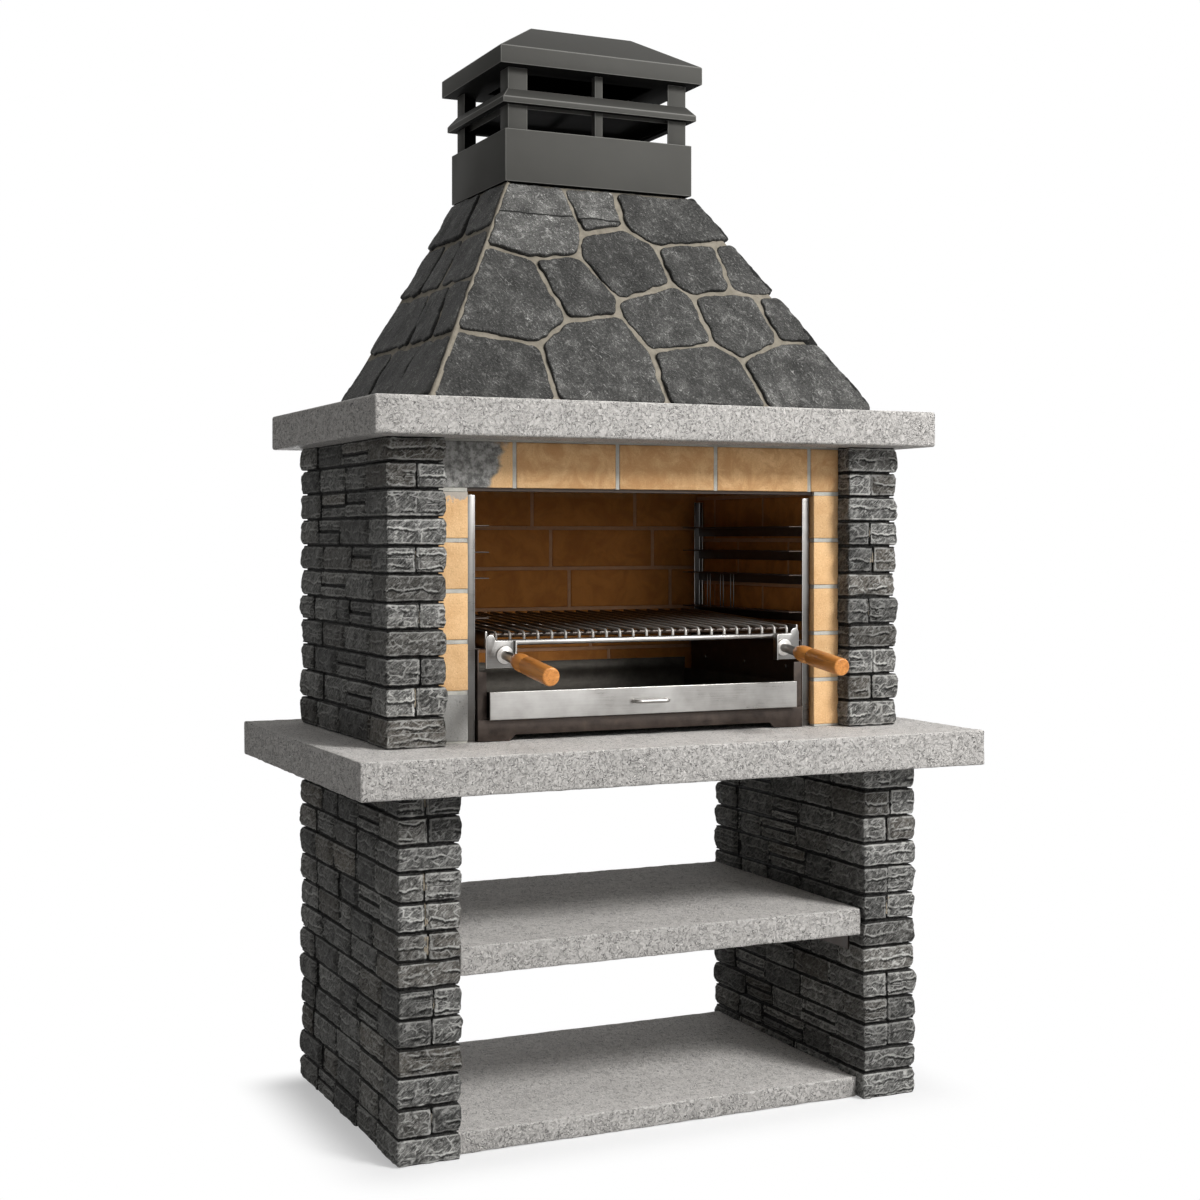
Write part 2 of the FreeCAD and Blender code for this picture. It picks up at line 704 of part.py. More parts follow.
def chimney_collar():
    """A square tube with a flange turned in at its foot, which rests on the head of the hood."""
    tube = block(*collar_limits(0), (hood_top, collar_top))
    hollow = block(*collar_limits(COLLAR_WALL), (hood_top + COLLAR_WALL, collar_top + CUT_PAST))
    flue = block(*collar_limits(COLLAR_FLANGE), (hood_top - CUT_PAST, collar_top))
    return tube.cut([hollow, flue])


def cowl_posts():
    """Four corner angles between the collar and the cap."""
    outer = block(*collar_limits(COWL_INSET), (collar_top, cowl_top))
    inner = block(*collar_limits(COWL_INSET + COWL_POST_WALL), (collar_top, cowl_top))
    xs, ys = collar_limits(COWL_INSET + COWL_POST_WIDTH)
    wide_xs, wide_ys = collar_limits(0)
    across = block(xs, wide_ys, (collar_top, cowl_top))
    along = block(wide_xs, ys, (collar_top, cowl_top))
    return outer.cut([inner, across, along]).Solids


def cowl_mullions():
    """The upright in the middle of the front and of the back, and the baffle that they carry."""
    ys = collar_limits(COWL_INSET)[1]
    half = MULLION_WIDTH / 2
    front = block((-half, half), (ys[0], ys[0] + MULLION_WIDTH), (collar_top, cowl_top))
    back = block((-half, half), (ys[1] - MULLION_WIDTH, ys[1]), (collar_top, cowl_top))
    return [front, back, cowl_baffle()]


def cowl_baffle():
    """A plate with turned-down edges over the flue, held between the mullions."""
    inset = COWL_INSET + MULLION_WIDTH
    low = collar_top + BAND_RISE_FROM_COLLAR - BAFFLE_BELOW_BAND
    top = low + BAFFLE_DEPTH
    plate = block(*collar_limits(inset), (low, top))
    hollow = block(*collar_limits(inset + BAFFLE_SHEET), (low - CUT_PAST, top - BAFFLE_SHEET))
    return plate.cut(hollow)


def cowl_band():
    """The rain band round the posts: an upright edge, and a top that slopes up to the posts."""
    low = collar_top + BAND_RISE_FROM_COLLAR
    shoulder = low + BAND_EDGE
    head = shoulder + BAND_SLOPE_RISE
    outside = collar_limits(COWL_INSET - BAND_PROJECTION)
    posts = collar_limits(COWL_INSET)
    edge = block(*outside, (low, shoulder))
    slope = solid_between(rectangle(*outside, shoulder), rectangle(*posts, head))
    return edge.fuse(slope).removeSplitter().cut(block(*posts, (low - CUT_PAST, head + CUT_PAST)))


def cap_body(shrink, low):
    """The outside of the cap, or its hollow, as an upright edge under a hipped top with a flat middle."""
    inset = COWL_INSET - CAP_OVERHANG + shrink
    eaves = cowl_top + CAP_FASCIA - shrink
    foot = collar_limits(inset)
    flat = collar_limits(inset + CAP_SLOPE_RUN - shrink / 2)
    edge = block(*foot, (low, eaves))
    slope = solid_between(rectangle(*foot, eaves), rectangle(*flat, eaves + CAP_SLOPE_RISE))
    return edge.fuse(slope).removeSplitter()


def cowl_cap():
    """A sheet cap, open in the middle of its underside."""
    soffit = cowl_top + CAP_WALL
    opening = block(*collar_limits(COWL_INSET + CAP_SOFFIT), (cowl_top - CUT_PAST, soffit + CUT_PAST))
    return cap_body(0, cowl_top).cut([cap_body(CAP_WALL, soffit), opening])


# Rack


def rack_posts():
    """Four upright angles at the corners of the rack."""
    top = lintel_low - FIREBRICK_JOINT - POST_TOP_GAP
    posts = []
    for side in (-1, 1):
        for end, inwards in ((rack_front, 1), (rack_back, -1)):
            zs = (worktop_top, top)
            flange_xs = (side * post_inner, side * rack_half)
            flange = block(flange_xs, (end, end + inwards * POST_THICK), zs)
            web = block((side * ledge_wall, side * rack_half), (end, end + inwards * POST_LEG), zs)
            posts.append(flange.fuse(web).removeSplitter())
    return posts


def ledge(side, top):
    """One angle of the rack, on which the grill can be set."""
    ys = (rack_front + POST_THICK, rack_back - POST_THICK)
    seat = block((side * ledge_wall, side * (ledge_wall - LEDGE_REACH)), ys, (top - LEDGE_THICK, top))
    drop = block((side * ledge_wall, side * (ledge_wall - LEDGE_THICK)), ys, (top - LEDGE_DROP, top))
    return seat.fuse(drop).removeSplitter()


def ledges(side):
    return [ledge(side, seat_level)] + [ledge(side, worktop_top + h) for h in LEDGE_HEIGHTS]


def rack_stays():
    """Pairs of wires between the ledge over the grill and the next one up."""
    low = worktop_top + LEDGE_HEIGHTS[0]
    high = worktop_top + LEDGE_HEIGHTS[1] - LEDGE_THICK
    wires = []
    for side in (-1, 1):
        for place in STAY_PLACES:
            for y in (rack_front + place, rack_front + place + STAY_SPACING):
                foot = V(side * (ledge_wall - STAY_INSET), y, low)
                wires.append(Part.makeCylinder(STAY_RADIUS, high - low, foot))
    return wires


def side_plate(side):
    """The upright sheet beside the tray, with a flange turned in at its front."""
    ys = (plate_front + SIDE_PLATE_THICK, rack_back)
    sheet = block((side * plate_inner, side * plate_outer), ys, (worktop_top, seat_level - LEDGE_THICK))
    flange_xs = (side * (plate_inner - FRONT_FLANGE_WIDTH), side * plate_outer)
    flange_zs = (worktop_top + BASE_RAIL_HEIGHT, worktop_top + FRONT_FLANGE_TOP)
    flange = block(flange_xs, (ys[0], ys[0] + SIDE_PLATE_THICK), flange_zs)
    return sheet.fuse(flange).removeSplitter()


def base_rail(y):
    """A rail between the side plates' feet, raised off the worktop in its middle."""
    low = worktop_top
    high = low + BASE_RAIL_HEIGHT
    half = plate_outer
    foot = half - BASE_RAIL_FOOT
    outline = [
        (-half, low), (-foot, low), (-foot + BASE_RAIL_ARCH, low + BASE_RAIL_ARCH),
        (foot - BASE_RAIL_ARCH, low + BASE_RAIL_ARCH), (foot, low), (half, low), (half, high), (-half, high),
    ]
    return prism([V(x, y, z) for x, z in outline], V(0, SIDE_PLATE_THICK, 0))


def tray_runner(side):
    """The angle that carries one side of the tray."""
    ys = (plate_front + 2 * SIDE_PLATE_THICK, rack_back)
    seat_xs = (side * plate_inner, side * (plate_inner - RUNNER_LEG))
    seat = block(seat_xs, ys, (runner_top - RUNNER_THICK, runner_top))
    wall_xs = (side * plate_inner, side * (plate_inner - RUNNER_THICK))
    wall = block(wall_xs, ys, (runner_top - RUNNER_THICK, runner_top + RUNNER_RISE))
    return seat.fuse(wall).removeSplitter()


def rack_rivets():
    """Round-headed rivets on the inner faces of the side plates."""
    rivets = []
    for side in (-1, 1):
        for place in RIVET_PLACES:
            foot = V(side * plate_inner, rack_front + place, worktop_top + RIVET_LEVEL)
            head = Part.makeCylinder(RIVET_RADIUS, RIVET_HEIGHT, foot, V(-side, 0, 0))
            circles = [e for e in head.Edges if isinstance(e.Curve, Part.Circle)]
            rim = min(circles, key=lambda e: abs(e.CenterOfMass.x))
            rivets.append(head.makeFillet(RIVET_ROUNDING, [rim]))
    return rivets


# Ember tray


def tray_pan():
    """A sheet pan, open above, with a back wall taller than its sides."""
    half = tray_half
    ys = (tray_front, tray_back)
    body = block((-half, half), ys, (tray_low, tray_low + TRAY_SIDE_HEIGHT))
    tall = block((-half, half), (ys[1] - TRAY_SHEET, ys[1]), (tray_low, tray_low + TRAY_BACK_HEIGHT))
    hollow_ys = (ys[0] + TRAY_SHEET, ys[1] - TRAY_SHEET)
    hollow_zs = (tray_low + TRAY_SHEET, tray_low + TRAY_BACK_HEIGHT)
    hollow = block((-half + TRAY_SHEET, half - TRAY_SHEET), hollow_ys, hollow_zs)
    return body.fuse(tall).removeSplitter().cut(hollow)


def tray_front_panel():
    half = tray_half + TRAY_FRONT_OVERLAP
    low = tray_low - TRAY_FRONT_DROP
    ys = (tray_front - TRAY_FRONT_THICK, tray_front)
    panel = block((-half, half), ys, (low, low + TRAY_FRONT_HEIGHT))
    edges = [e for e in panel.Edges if e.BoundBox.YMax < tray_front - TRAY_FRONT_THICK / 2]
    return panel.makeFillet(TRAY_FRONT_ROUNDING, edges)


def tray_handle():
    """A rod bent into a bow, welded to the panel by both ends."""
    half = TRAY_HANDLE_WIDTH / 2 - TRAY_HANDLE_ROD
    face = tray_front - TRAY_FRONT_THICK
    z = tray_low - TRAY_FRONT_DROP + TRAY_FRONT_HEIGHT / 2
    reach = face - TRAY_HANDLE_REACH + TRAY_HANDLE_ROD
    corners = [V(-half, face, z), V(-half, reach, z), V(half, reach, z), V(half, face, z)]
    return bent_rod(corners, TRAY_HANDLE_BEND, TRAY_HANDLE_ROD)


def bent_rod(corners, bend, radius):
    """A round rod along straight runs, with an arc of one radius at each corner between them."""
    edges = []
    at = corners[0]
    for corner, after in zip(corners[1:], corners[2:]):
        back = (at - corner).normalize()
        on = (after - corner).normalize()
        half_turn = (math.pi - back.getAngle(on)) / 2
        reach = bend * math.tan(half_turn)
        start = corner + back * reach
        stop = corner + on * reach
        towards = (back + on).normalize()
        middle = corner + towards * (bend / math.cos(half_turn) - bend)
        edges.append(Part.LineSegment(at, start).toShape())
        edges.append(Part.Arc(start, middle, stop).toShape())
        at = stop
    edges.append(Part.LineSegment(at, corners[-1]).toShape())
    path = Part.Wire(edges)
    section = Part.Wire(Part.makeCircle(radius, corners[0], corners[1] - corners[0]))
    return path.makePipeShell([section], True, False)


# Grill


def rod_level(share):
    """The height of the rods' middle line, at a share of the grill's depth from its front."""
    return grill_low + ROD_FRONT_LIFT + (ROD_BACK_LIFT - ROD_FRONT_LIFT) * share


def grill_side_plate(side):
    """The plate that slides on a ledge: level below, and rising to the back along the rods."""
    outline = [
        (grill_front, grill_low), (grill_back, grill_low),
        (grill_back, rod_level(1) + ROD_RADIUS), (grill_front, rod_level(0) + ROD_RADIUS),
    ]
    face = side * grill_half
    travel = V(-side * GRILL_PLATE_THICK, 0, 0)
    return prism([V(face, y, z) for y, z in outline], travel)


def across_bar(radius, y, z):
    half = grill_half - GRILL_PLATE_THICK
    return Part.makeCylinder(radius, 2 * half, V(-half, y, z), V(1, 0, 0))


def grill_cross_bars():
    """Bars between the side plates, which the rods lie on."""
    depth = grill_back - grill_front
    below = ROD_RADIUS + CROSS_BAR_RADIUS
    slope = math.atan2(ROD_BACK_LIFT - ROD_FRONT_LIFT, depth)
    bars = []
    for share in CROSS_BAR_PLACES:
        z = rod_level(share) - below / math.cos(slope)
        bars.append(across_bar(CROSS_BAR_RADIUS, grill_front + share * depth, z))
    return bars


def grill_rods():
    """Rods from front to back, whose front ends turn down to the front bar."""
    room = grill_half - GRILL_PLATE_THICK - ROD_RADIUS
    each_side = int((room - ROD_RADIUS) / ROD_PITCH)
    front_share = (bar_y - grill_front) / (grill_back - grill_front)
    rods = []
    for i in range(-each_side, each_side + 1):
        x = i * ROD_PITCH
        back = V(x, grill_back, rod_level(1))
        corner = V(x, bar_y, rod_level(front_share))
        foot = V(x, bar_y, bar_z + GRILL_FRONT_BAR_RADIUS)
        rods.append(bent_rod([back, corner, foot], ROD_BEND, ROD_RADIUS))
    return rods


def handle_bracket(side):
    """The plate at a front corner of the grill: an outer strip with a round top, and a plate with a lip."""
    back = grill_front
    front = back - BRACKET_THICK
    strip_inner = grill_half - BRACKET_STRIP_WIDTH
    inner = grill_half - BRACKET_WIDTH
    low = seat_level - BRACKET_DROP
    radius = BRACKET_STRIP_WIDTH / 2
    strip_xs = (side * strip_inner, side * grill_half)
    strip = block(strip_xs, (front, back), (low, seat_level + BRACKET_STRIP_TOP - radius))
    middle = V(side * (strip_inner + radius), back, seat_level + BRACKET_STRIP_TOP - radius)
    crown = Part.makeCylinder(radius, BRACKET_THICK, middle, V(0, -1, 0))
    plate = block((side * inner, side * grill_half), (front, back), (low, seat_level + BRACKET_TOP))
    lip_xs = (side * inner, side * (inner + BRACKET_LIP_THICK))
    lip = block(lip_xs, (back, front - BRACKET_LIP), (low, seat_level + BRACKET_TOP))
    return strip.fuse([crown, plate, lip]).removeSplitter()


def handle_axis(side):
    """Where a handle leaves its bracket, and the way it points: forwards and a little down."""
    x = side * (grill_half - BRACKET_WIDTH + HANDLE_FROM_BRACKET_EDGE)
    start = V(x, grill_front - BRACKET_THICK, seat_level - HANDLE_BELOW_SEAT)
    droop = math.radians(HANDLE_DROOP)
    return start, V(0, -math.cos(droop), -math.sin(droop))


def handle_shank(side):
    """A steel rod with a round ferrule at the bracket, cut off flat against it."""
    start, way = handle_axis(side)
    behind = start - way * FERRULE_RADIUS
    rod = Part.makeCylinder(SHANK_RADIUS, FERRULE_RADIUS + SHANK_LENGTH + SHANK_TAIL, behind, way)
    ferrule = Part.makeCylinder(FERRULE_RADIUS, FERRULE_RADIUS + FERRULE_THICK, behind, way)
    far = FERRULE_RADIUS * 3
    xs = (start.x - far, start.x + far)
    bracket_side = block(xs, (start.y, start.y + far), (start.z - far, start.z + far))
    return rod.fuse(ferrule).removeSplitter().cut(bracket_side)


def grip(side):
    """A turned wooden handle, bored for its shank, with a bulge, a waist, a shoulder and a rounded end."""
    start, way = handle_axis(side)
    shoulder = GRIP_WAIST_PLACE + GRIP_SHOULDER
    end = GRIP_LENGTH - GRIP_END_ROUNDING
    corner = GRIP_END_ROUNDING * (1 - math.sqrt(0.5))

    def at(radius, along):
        return V(radius, 0, along)

    edges = [
        Part.makeLine(at(0, 0), at(GRIP_NECK_RADIUS, 0)),
        Part.Arc(
            at(GRIP_NECK_RADIUS, 0),
            at(GRIP_RADIUS, GRIP_BULGE_PLACE),
            at(GRIP_WAIST_RADIUS, GRIP_WAIST_PLACE),
        ).toShape(),
        Part.makeLine(at(GRIP_WAIST_RADIUS, GRIP_WAIST_PLACE), at(GRIP_RADIUS, shoulder)),
        Part.makeLine(at(GRIP_RADIUS, shoulder), at(GRIP_RADIUS, end)),
        Part.Arc(
            at(GRIP_RADIUS, end),
            at(GRIP_RADIUS - corner, GRIP_LENGTH - corner),
            at(GRIP_RADIUS - GRIP_END_ROUNDING, GRIP_LENGTH),
        ).toShape(),
        Part.makeLine(at(GRIP_RADIUS - GRIP_END_ROUNDING, GRIP_LENGTH), at(0, GRIP_LENGTH)),
        Part.makeLine(at(0, GRIP_LENGTH), at(0, 0)),
    ]
    turned = Part.Face(Part.Wire(edges)).revolve(V(0, 0, 0), V(0, 0, 1), 360)
    bore = Part.makeCylinder(SHANK_RADIUS, SHANK_TAIL, V(0, 0, 0))
    wood = turned.cut(bore)
    turn = FreeCAD.Rotation(V(0, 0, 1), way)
    wood.Placement = FreeCAD.Placement(start + way * SHANK_LENGTH, turn)
    return wood


def write_masonry(rng):
    save("base_slab", base_slab())
    save("middle_shelf", middle_shelf())
    save("worktop", worktop())
    save("mantel", mantel())
    lower_zs = (0, LOWER_PIER_HEIGHT)
    upper_zs = (worktop_top, mantel_low)
    ledgers = []
    anchors = []
    for name, side in (("left", -1), ("right", 1)):
        sides = (lower_inner, lower_outer)
        front_stones = FRONT_STONES[name + "_lower"]
        stones, core = pier(side, sides, lower_front, lower_zs, LOWER_COURSES, front_stones, True, rng)
        places = anchor_places(stones)
        holes = anchor_shanks(side, places, ANCHOR_RADIUS + ANCHOR_HOLE_GAP)
        ledgers.append(shelf_ledger(side, holes))
        anchors += shelf_anchors(side, places)
        save(name + "_lower_core", drilled([core], holes))
        save(name + "_lower_stones", drilled(stones, holes))
        sides = (upper_inner, upper_outer)
        front_stones = FRONT_STONES[name + "_upper"]
        stones, core = pier(side, sides, upper_front, upper_zs, UPPER_COURSES, front_stones, False, rng)
        save(name + "_upper_core", core)
        save(name + "_upper_stones", stones)
    save("shelf_ledgers", ledgers)
    save("shelf_anchors", anchors)


def write_hearth():
    foot_block, left_bricks, left_mortar = side_wall(-1)
    right_foot, right_bricks, right_mortar = side_wall(1)
    bearing_block, lintel_bricks, lintel_mortar = lintel()
    slips, back_mortar = back_wall()
    mortar = Part.makeCompound([left_mortar, right_mortar, lintel_mortar, back_mortar])
    save("left_foot_block", foot_block)
    save("left_firebricks", left_bricks)
    save("right_firebricks", [right_foot] + right_bricks)
    save("lintel_bearing_block", bearing_block)
    save("lintel_bricks", lintel_bricks)
    save("lintel_bar", lintel_bar())
    save("back_brick_slips", slips)
    save("hearth_mortar", mortar.Solids)
    save("hearth_back_panel", back_panel())


def write_hood(rng):
    panel_outside = (HOOD_CLADDING, 0)
    panel_inside = (HOOD_CLADDING + HOOD_PANEL, HOOD_PANEL)
    mortar = []
    for name, corner in (("front", FRONT), ("right", RIGHT), ("back", BACK), ("left", LEFT)):
        save("hood_" + name + "_panel", hood_layer(corner, panel_outside, panel_inside))
        if corner == BACK:
            continue
        outlines = front_outlines() if corner == FRONT else side_outlines()
        slates, bed = hood_slates(corner, outlines, rng)
        save("hood_" + name + "_slates", slates)
        mortar += bed
    save("hood_mortar", mortar)


def write_cowl():
    save("chimney_collar", chimney_collar())
    save("cowl_posts", cowl_posts())
    save("cowl_mullions", cowl_mullions())
    save("cowl_band", cowl_band())
    save("cowl_cap", cowl_cap())


def write_rack():
    save("rack_posts", rack_posts())
    save("front_base_rail", base_rail(plate_front))
    save("rear_base_rail", base_rail(rack_back))
    save("tray_runners", [tray_runner(-1), tray_runner(1)])
    save("rack_stays", rack_stays())
    save("rack_rivets", rack_rivets())
    for name, side in (("left", -1), ("right", 1)):
        save(name + "_side_plate", side_plate(side))
        save(name + "_ledges", ledges(side))


def write_tray():
    save("tray_pan", tray_pan())
    save("tray_front_panel", tray_front_panel())
    save("tray_handle", tray_handle())


def write_grill():
    save("grill_front_bar", across_bar(GRILL_FRONT_BAR_RADIUS, bar_y, bar_z))
    save("grill_cross_bars", grill_cross_bars())
    save("grill_rods", grill_rods())
    for name, side in (("left", -1), ("right", 1)):
        save(name + "_grill_side", grill_side_plate(side))
        save(name + "_handle_bracket", handle_bracket(side))
        save(name + "_handle_shank", handle_shank(side))
        save(name + "_grip", grip(side))


os.makedirs("parts", exist_ok=True)
stone_rng = random.Random(STONE_SEED)
write_masonry(stone_rng)
write_hearth()
write_hood(stone_rng)
write_cowl()
write_rack()
write_tray()
write_grill()
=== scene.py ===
"""Looks of the masonry barbecue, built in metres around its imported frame."""

import math

import bmesh
import bpy
import numpy as np
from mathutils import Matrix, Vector, geometry

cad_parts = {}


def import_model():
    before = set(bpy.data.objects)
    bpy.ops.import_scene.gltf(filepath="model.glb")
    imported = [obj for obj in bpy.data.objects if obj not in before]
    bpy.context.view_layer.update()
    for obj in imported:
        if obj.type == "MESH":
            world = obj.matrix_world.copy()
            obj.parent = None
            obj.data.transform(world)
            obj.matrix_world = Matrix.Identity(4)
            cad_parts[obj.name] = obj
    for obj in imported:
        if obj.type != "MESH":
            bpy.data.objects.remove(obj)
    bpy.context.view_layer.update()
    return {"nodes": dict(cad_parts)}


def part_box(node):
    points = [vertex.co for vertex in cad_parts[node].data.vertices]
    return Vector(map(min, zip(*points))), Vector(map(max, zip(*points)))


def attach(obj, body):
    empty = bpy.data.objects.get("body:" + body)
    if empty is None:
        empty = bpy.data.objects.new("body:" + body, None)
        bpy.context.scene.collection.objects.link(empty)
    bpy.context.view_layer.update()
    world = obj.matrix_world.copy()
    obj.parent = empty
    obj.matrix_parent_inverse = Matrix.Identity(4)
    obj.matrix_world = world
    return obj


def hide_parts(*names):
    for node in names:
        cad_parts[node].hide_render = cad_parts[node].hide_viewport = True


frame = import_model()

# Camera, from the photograph's perspective
CAMERA_PLACE = (-1.7370, -3.7318, 1.2064)
CAMERA_YAW = math.radians(24.795)
CAMERA_LENS = 55.96
SENSOR_WIDTH = 36.0
HORIZON_SHIFT = -0.0507

# Studio
LIGHT_AIM = (0.0, 0.0, 1.0)
LIGHTS = {
    "key": dict(place=(2.48, -4.42, 4.21), size=1.5, power=330.0),
    "front": dict(place=(1.5, -5.7, 2.3), size=2.0, power=48.0),
    "overhead": dict(place=(0.4, -1.2, 5.4), size=2.0, power=36.0),
    "rear": dict(place=(0.9, 5.7, 0.42), size=0.8, power=80.0),
}
WHITE = (1.0, 1.0, 1.0, 1.0)
AMBIENT = 0.295
AMBIENT_BEHIND = 0.04
FLOOR_HALF = 30.0
FLOOR_BOUNCE = 0.46
FOOTPRINT_HALF = (0.59, 0.339)
FOOTPRINT_MIDDLE = (0.0, 0.011)
SHADOW_REACH = 0.17
SHADOW_SHARE = 0.62
SHADOW_BACK = (0.42, 0.28)

# Noise: numbers that scatter whole-numbered places. Its layers are (height, size, step of the seed).
SCATTER = (73856093, 19349663, 83492791)
SCATTER_SEED = 40503
SCATTER_AGAIN = 1274126177
SCATTER_SHIFTS = (13, 15)
SCATTER_KEPT = 0x7FFFFFFF
SCATTER_TOP = 0xFFFF
SEED = 7
SEED_COUNT = 100000

# Meshes: the closer grid lines of a rounded rim, as shares of it, and what counts as joined, flat and smooth
RIM_STOPS = np.array([0.0, 0.35])
WELD_WITHIN = 1e-6
FLAT_ANGLE = math.radians(1.0)
SMOOTH_ANGLE = math.radians(32.0)
PLACE_DIGITS = 4

# Triangles inside an outline: the tool's option for that, and how close points are merged
INSIDE_ONLY = 1
MERGE_WITHIN = 1e-7

# Node trees: sockets of the colour mix, the rays that see the white background, and noise's usual spread
MIX_INPUTS = (0, 6, 7)
MIX_OUTPUT = 2
SEEN_RAYS = ("Camera", "Glossy", "Transmission")
NOISE_SPREAD = (0.3, 0.7)

# Split stone, with what differs between a pier's front and its sides
PIERS = ("left_lower", "right_lower", "left_upper", "right_upper")
STONE_GRID = 0.0055
STONE_ROUNDING = 0.0036
STONE_ROUNDING_SPREAD = (0.8, 1.4)
STONE_ROUNDING_MOST = 0.25
STONE_CHIPS = (0.9, 0.018, 7)
STONE_CHIP_LIMITS = (0.6, 1.9)
STONE_SHOWN_WITHIN = 0.008
STONE_SHOWN_FROM = 0.2
STONE_FACE_FROM = 0.5
STONE_HIDDEN_EDGE = -0.01
STONE_PILLOW = 0.0045
STONE_PILLOW_RUN = 0.013
STONE_PILLOW_LEVEL = 0.6
STONE_TILT = 0.0030
STONE_END_DROP = 0.0078
STONE_END_RUN = 0.020
STONE_LUMPS = ((0.0022, 0.024, 0), (0.0010, 0.0105, 3))
STONE_BROWN_RARITY = 5
BED_DOUBLE_FROM = 0.034
BED_DOUBLE_SHARE = 0.45
BED_SHIFT = 0.12
BED_WANDER = (0.0042, 0.035)
BED_RIPPLE = (0.0021, 0.012, 9)
BED_STEP = dict(front=0.0020, side=0.0008)
BED_STEP_CHOICES = (-1.0, 0.7, 1.0)
BED_SHARPNESS = 0.0024
CHISEL_LENGTH = 0.028
CHISEL_WIDTH = 0.0085
CHISEL_DEPTH = dict(front=0.0026, side=0.0013)
CHISEL_TURN = math.radians(35.0)
BEDDING_INSET = np.array([0.011, 0.011, 0.001])
POINTED_SHARE = 0.35
POINTING_HALF_WIDTH = 0.0085
POINTING_DEPTH = 0.016
POINTING_SET_BACK = 0.0030
POINTING_FOOT = (0.1, 0.45)
POINTING_HEAD = (0.7, 0.95)
POINTING_ROUNDING = 0.003
POINTING_LUMPS = ((0.0016, 0.009, 0),)

# Slabs
SLAB_GRID = 0.010
SLAB_ROUNDING = 0.005
SLAB_SEED = 21
SLAB_WEAR = ((0.35, 0.03, 0),)
SLAB_LUMPS = ((0.0007, 0.012, 1), (0.00042, 0.05, 2))
SLAB_SUNK = 0.00084
SLAB_TINT = (1.0, 0.972, 0.975)
SLAB_FLECK_RUN = (1.0, 2.0, 1.0)

# Bricks
BRICK_GRID = 0.014
BRICK_ROUNDING = 0.0025
BRICK_SEED = 31
BRICK_LUMPS = ((0.0004, 0.03, 0), (0.0002, 0.011, 1))
BRICK_SUNK = 0.00048

# Hearth: where its masonry turns brown from heat and is darkened with painted shade, where smoke and painted
# warm shade lie over the lintel, and where cement covers its left side
HEARTH_FRONT = -0.215
HEARTH_HALF = 0.404
LINTEL_FOOT = 1.310
BROWNED_AND_SHADED_DEPTH = (HEARTH_FRONT + 0.0015, HEARTH_FRONT + 0.035)
BROWNED_AND_SHADED_SIDE = (HEARTH_HALF + 0.010, HEARTH_HALF + 0.004)
SMOKED_AND_SHADED_LEVEL = (LINTEL_FOOT - 0.010, LINTEL_FOOT + 0.002)
SMEAR_FOOT = (LINTEL_FOOT - 0.027, LINTEL_FOOT - 0.018)
SMEAR_HEAD = (LINTEL_FOOT - 0.004, LINTEL_FOOT - 0.006)
SMEAR_SIDE = (-0.395, -0.400)
CEMENT_EDGE = (-0.352, -0.328)
CEMENT_EDGE_LEVEL = 1.36
CEMENT_EDGE_SLANT = -0.25

# Hood: its cladding's outside at the foot and at the head, and each face's ends as seen from outside
HOOD_FOOT = dict(half=0.511, front=-0.280, back=0.355, z=1.484)
HOOD_HEAD = dict(half=0.222, front=0.030, back=0.355, z=1.984)
HOOD_ENDS = {
    "front": ((-1, "front"), (1, "front")),
    "left": ((-1, "back"), (-1, "front")),
    "right": ((1, "front"), (1, "back")),
}
FLUE_MIDDLE = (0.0, (HOOD_HEAD["front"] + HOOD_HEAD["back"]) / 2, 0.0)

# Slates
SLATE_GRID = 0.007
SLATE_OUTLINE_STEP = SLATE_GRID * 0.75
SLATE_CORNER = 0.016
SLATE_CORNER_SPREAD = (0.6, 1.2)
SLATE_CORNER_MOST = 0.4
SLATE_CORNER_POINTS = 6
SLATE_RAGGED = ((0.0034, 0.024, 0), (0.0016, 0.009, 4))
SLATE_GROWTH = 0.0015
SLATE_RIM = 0.0040
SLATE_RIM_BEND = 0.35
SLATE_RIM_DROPS = (0.0010, 0.0036)
SLATE_SKIRT = 0.015
SLATE_RAISE = dict(front=0.0, left=0.004, right=0.012)
SLATE_FACING = 0.99
SLATE_TONES = (0.15, 0.75)
SLATE_WAVES = ((0.0010, 0.07, 1), (0.0004, 0.014, 2))
FLAKE_HEIGHT = 0.0012
FLAKES = (2.2, 0.045, 0)
FLAKE_LIMITS = (-0.9, 1.9)
FLAKE_EDGE = (0.42, 0.58)
SIDE_SLATE_LEAN = (0.002, 0.006)
ARRIS_REACH = 0.020
ARRIS_OVERHANG = 0.013

# Cracked slates of the front, by (x, z) and the crack's share of the slate's height
CRACKS = {(-0.20, 1.88): 0.58, (-0.035, 1.92): 0.22}
CRACK_SEARCH = 0.07
CRACK_WANDER = (0.004, 0.03, 0)
CRACK_STEP = 0.0022
CRACK_HALF_WIDTH = 0.0015
CRACKED_TONE = 1.35
FAR_FROM_CRACK = 1.0

# Mortar between the slates
MORTAR_GRID = 0.008
MORTAR_SUNK = dict(front=0.0070, left=0.0015, right=0.0030)
MORTAR_START = dict(front=0.0, left=0.0, right=0.018)
MORTAR_THICK = 0.010
MORTAR_SEED = 41
MORTAR_LUMPS = ((0.0012, 0.03, 0), (0.0006, 0.011, 1))
MORTAR_EVEN_EDGE = 0.02

# Sheet metal and bars
# The band at the top of the pan's rim that gets a painted highlight
PAN_RIM = (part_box("tray_pan")[1][2] - 0.006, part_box("tray_pan")[1][2] - 0.004)
